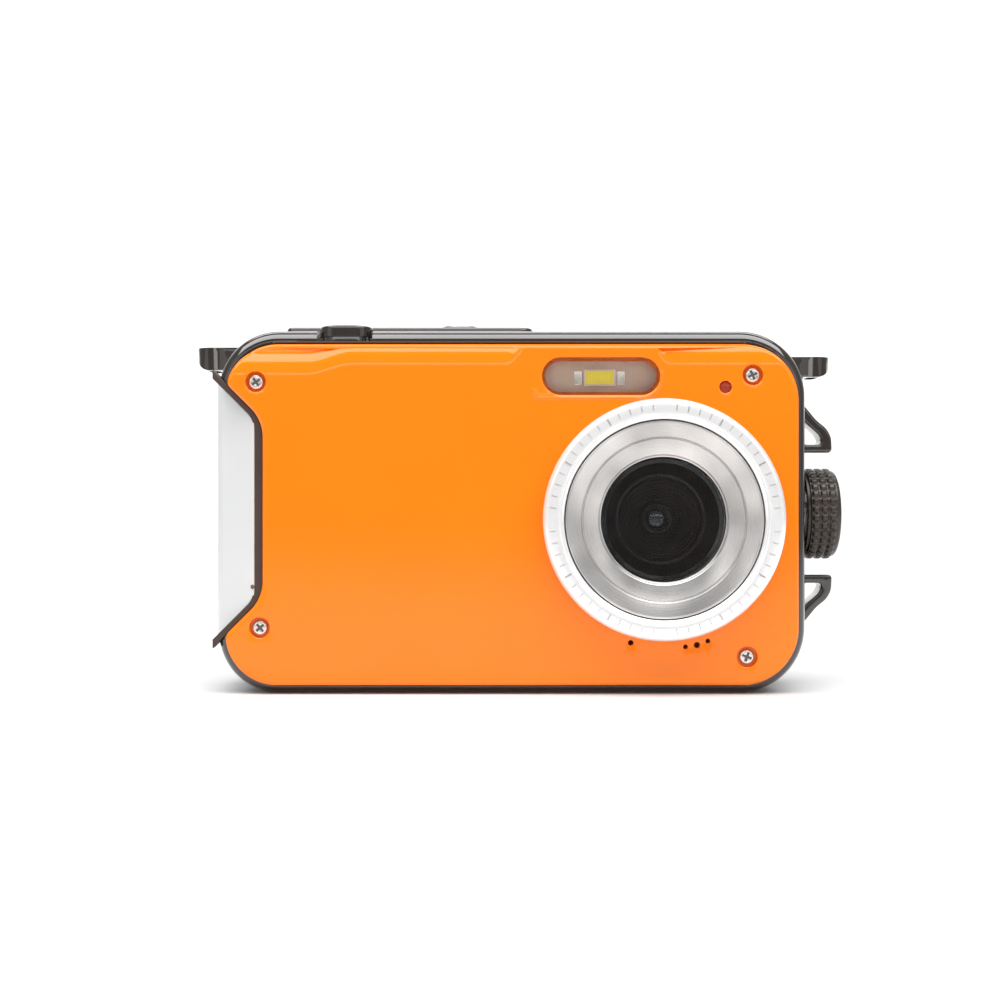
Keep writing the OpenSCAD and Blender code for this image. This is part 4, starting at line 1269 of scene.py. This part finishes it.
def stage():
    scene = bpy.context.scene
    mat, nodes, links, shader, where = new_material("floor_white")
    cloud = noise(nodes, links, where, 4.0, 2.0)
    grey = ramp(nodes, links, cloud, (0.74, 0.74, 0.74, 1), (0.78, 0.78, 0.78, 1))
    links.new(grey, shader.inputs["Base Color"])
    put(shader, Roughness=0.7, Specular_IOR_Level=0.2)
    # a floor that bends up into the backdrop, as (y, z) in metres from front to back
    wide, bend_y, bend_r = 3.0, 0.6, 1.2
    bend = [(bend_y + bend_r * math.sin(a), bend_r - bend_r * math.cos(a))
            for a in np.linspace(0.1, math.pi / 2, 12)]
    profile = [(-3.0, 0.0), (bend_y, 0.0)] + bend + [(bend_y + bend_r, 4.0)]
    verts = [(x, y, z) for y, z in profile for x in (-wide, wide)]
    faces = [(2 * i, 2 * i + 1, 2 * i + 3, 2 * i + 2) for i in range(len(profile) - 1)]
    mesh = bpy.data.meshes.new("floor")
    mesh.from_pydata(verts, [], faces)
    floor = bpy.data.objects.new("floor", mesh)
    scene.collection.objects.link(floor)
    mesh.shade_smooth()
    mesh.materials.append(mat)
    world = bpy.data.worlds.new("studio")
    scene.world = world
    world.use_nodes = True
    put(world.node_tree.nodes["Background"], Color=(1, 1, 1, 1), Strength=0.4)
    area_light("top_box", (0.0, -0.17, 0.5), (0, 0, 0.03), 1.0, 6.6, size_y=0.36)
    area_light("crease_strip", (0.0, -0.9, 0.26), (0, 0, 0.05), 1.3, 1.5, size_y=0.13)
    area_light("back_box", (0.0, 0.75, 1.4), (0, 1.7, 0.5), 1.8, 36.0, size_y=0.6)
    area_light("left_box", (-0.6, -0.45, 0.25), (0, 0, 0.03), 0.4, 0.35, size_y=0.5)
    area_light("right_box", (0.6, -0.5, 0.25), (0, 0, 0.03), 0.4, 0.35, size_y=0.5)
    scene.view_settings.view_transform = "Standard"
    scene.view_settings.exposure = -0.3


# where the camera stands: sideways, in front of the front face, and up
VIEW_X = -4.6
VIEW_BACK = 280
VIEW_Z = 34.1


def camera():
    data = bpy.data.cameras.new("view")
    data.lens = 57.6
    data.sensor_width = 36
    data.clip_start = 0.01
    data.clip_end = 20
    obj = bpy.data.objects.new("view", data)
    obj.location = (VIEW_X * MM, (Y_FRONT - VIEW_BACK) * MM, VIEW_Z * MM)
    obj.rotation_euler = (math.pi / 2, 0, 0)
    bpy.context.scene.collection.objects.link(obj)
    bpy.context.scene.camera = obj


# ---------------------------------------------------------------- the object

carry_over()
front_cover()
mid_frame()
rear_cover()
grip_plate()
grip_trim()
lens_group()
ring_marks()
lamp()
indicator()
grille()
screw_group("front_screw_set", "front_screws", FRONT_SCREWS, Y_FRONT + 1.4, "front", 7)
screw_group("rear_screw_set", "rear_screws", REAR_SCREWS, Y_BACK - 1.2, "back", 5.5)
knob()
side_cover()
buttons()
rear_keys()
key_icons()
display()
stage()
camera()
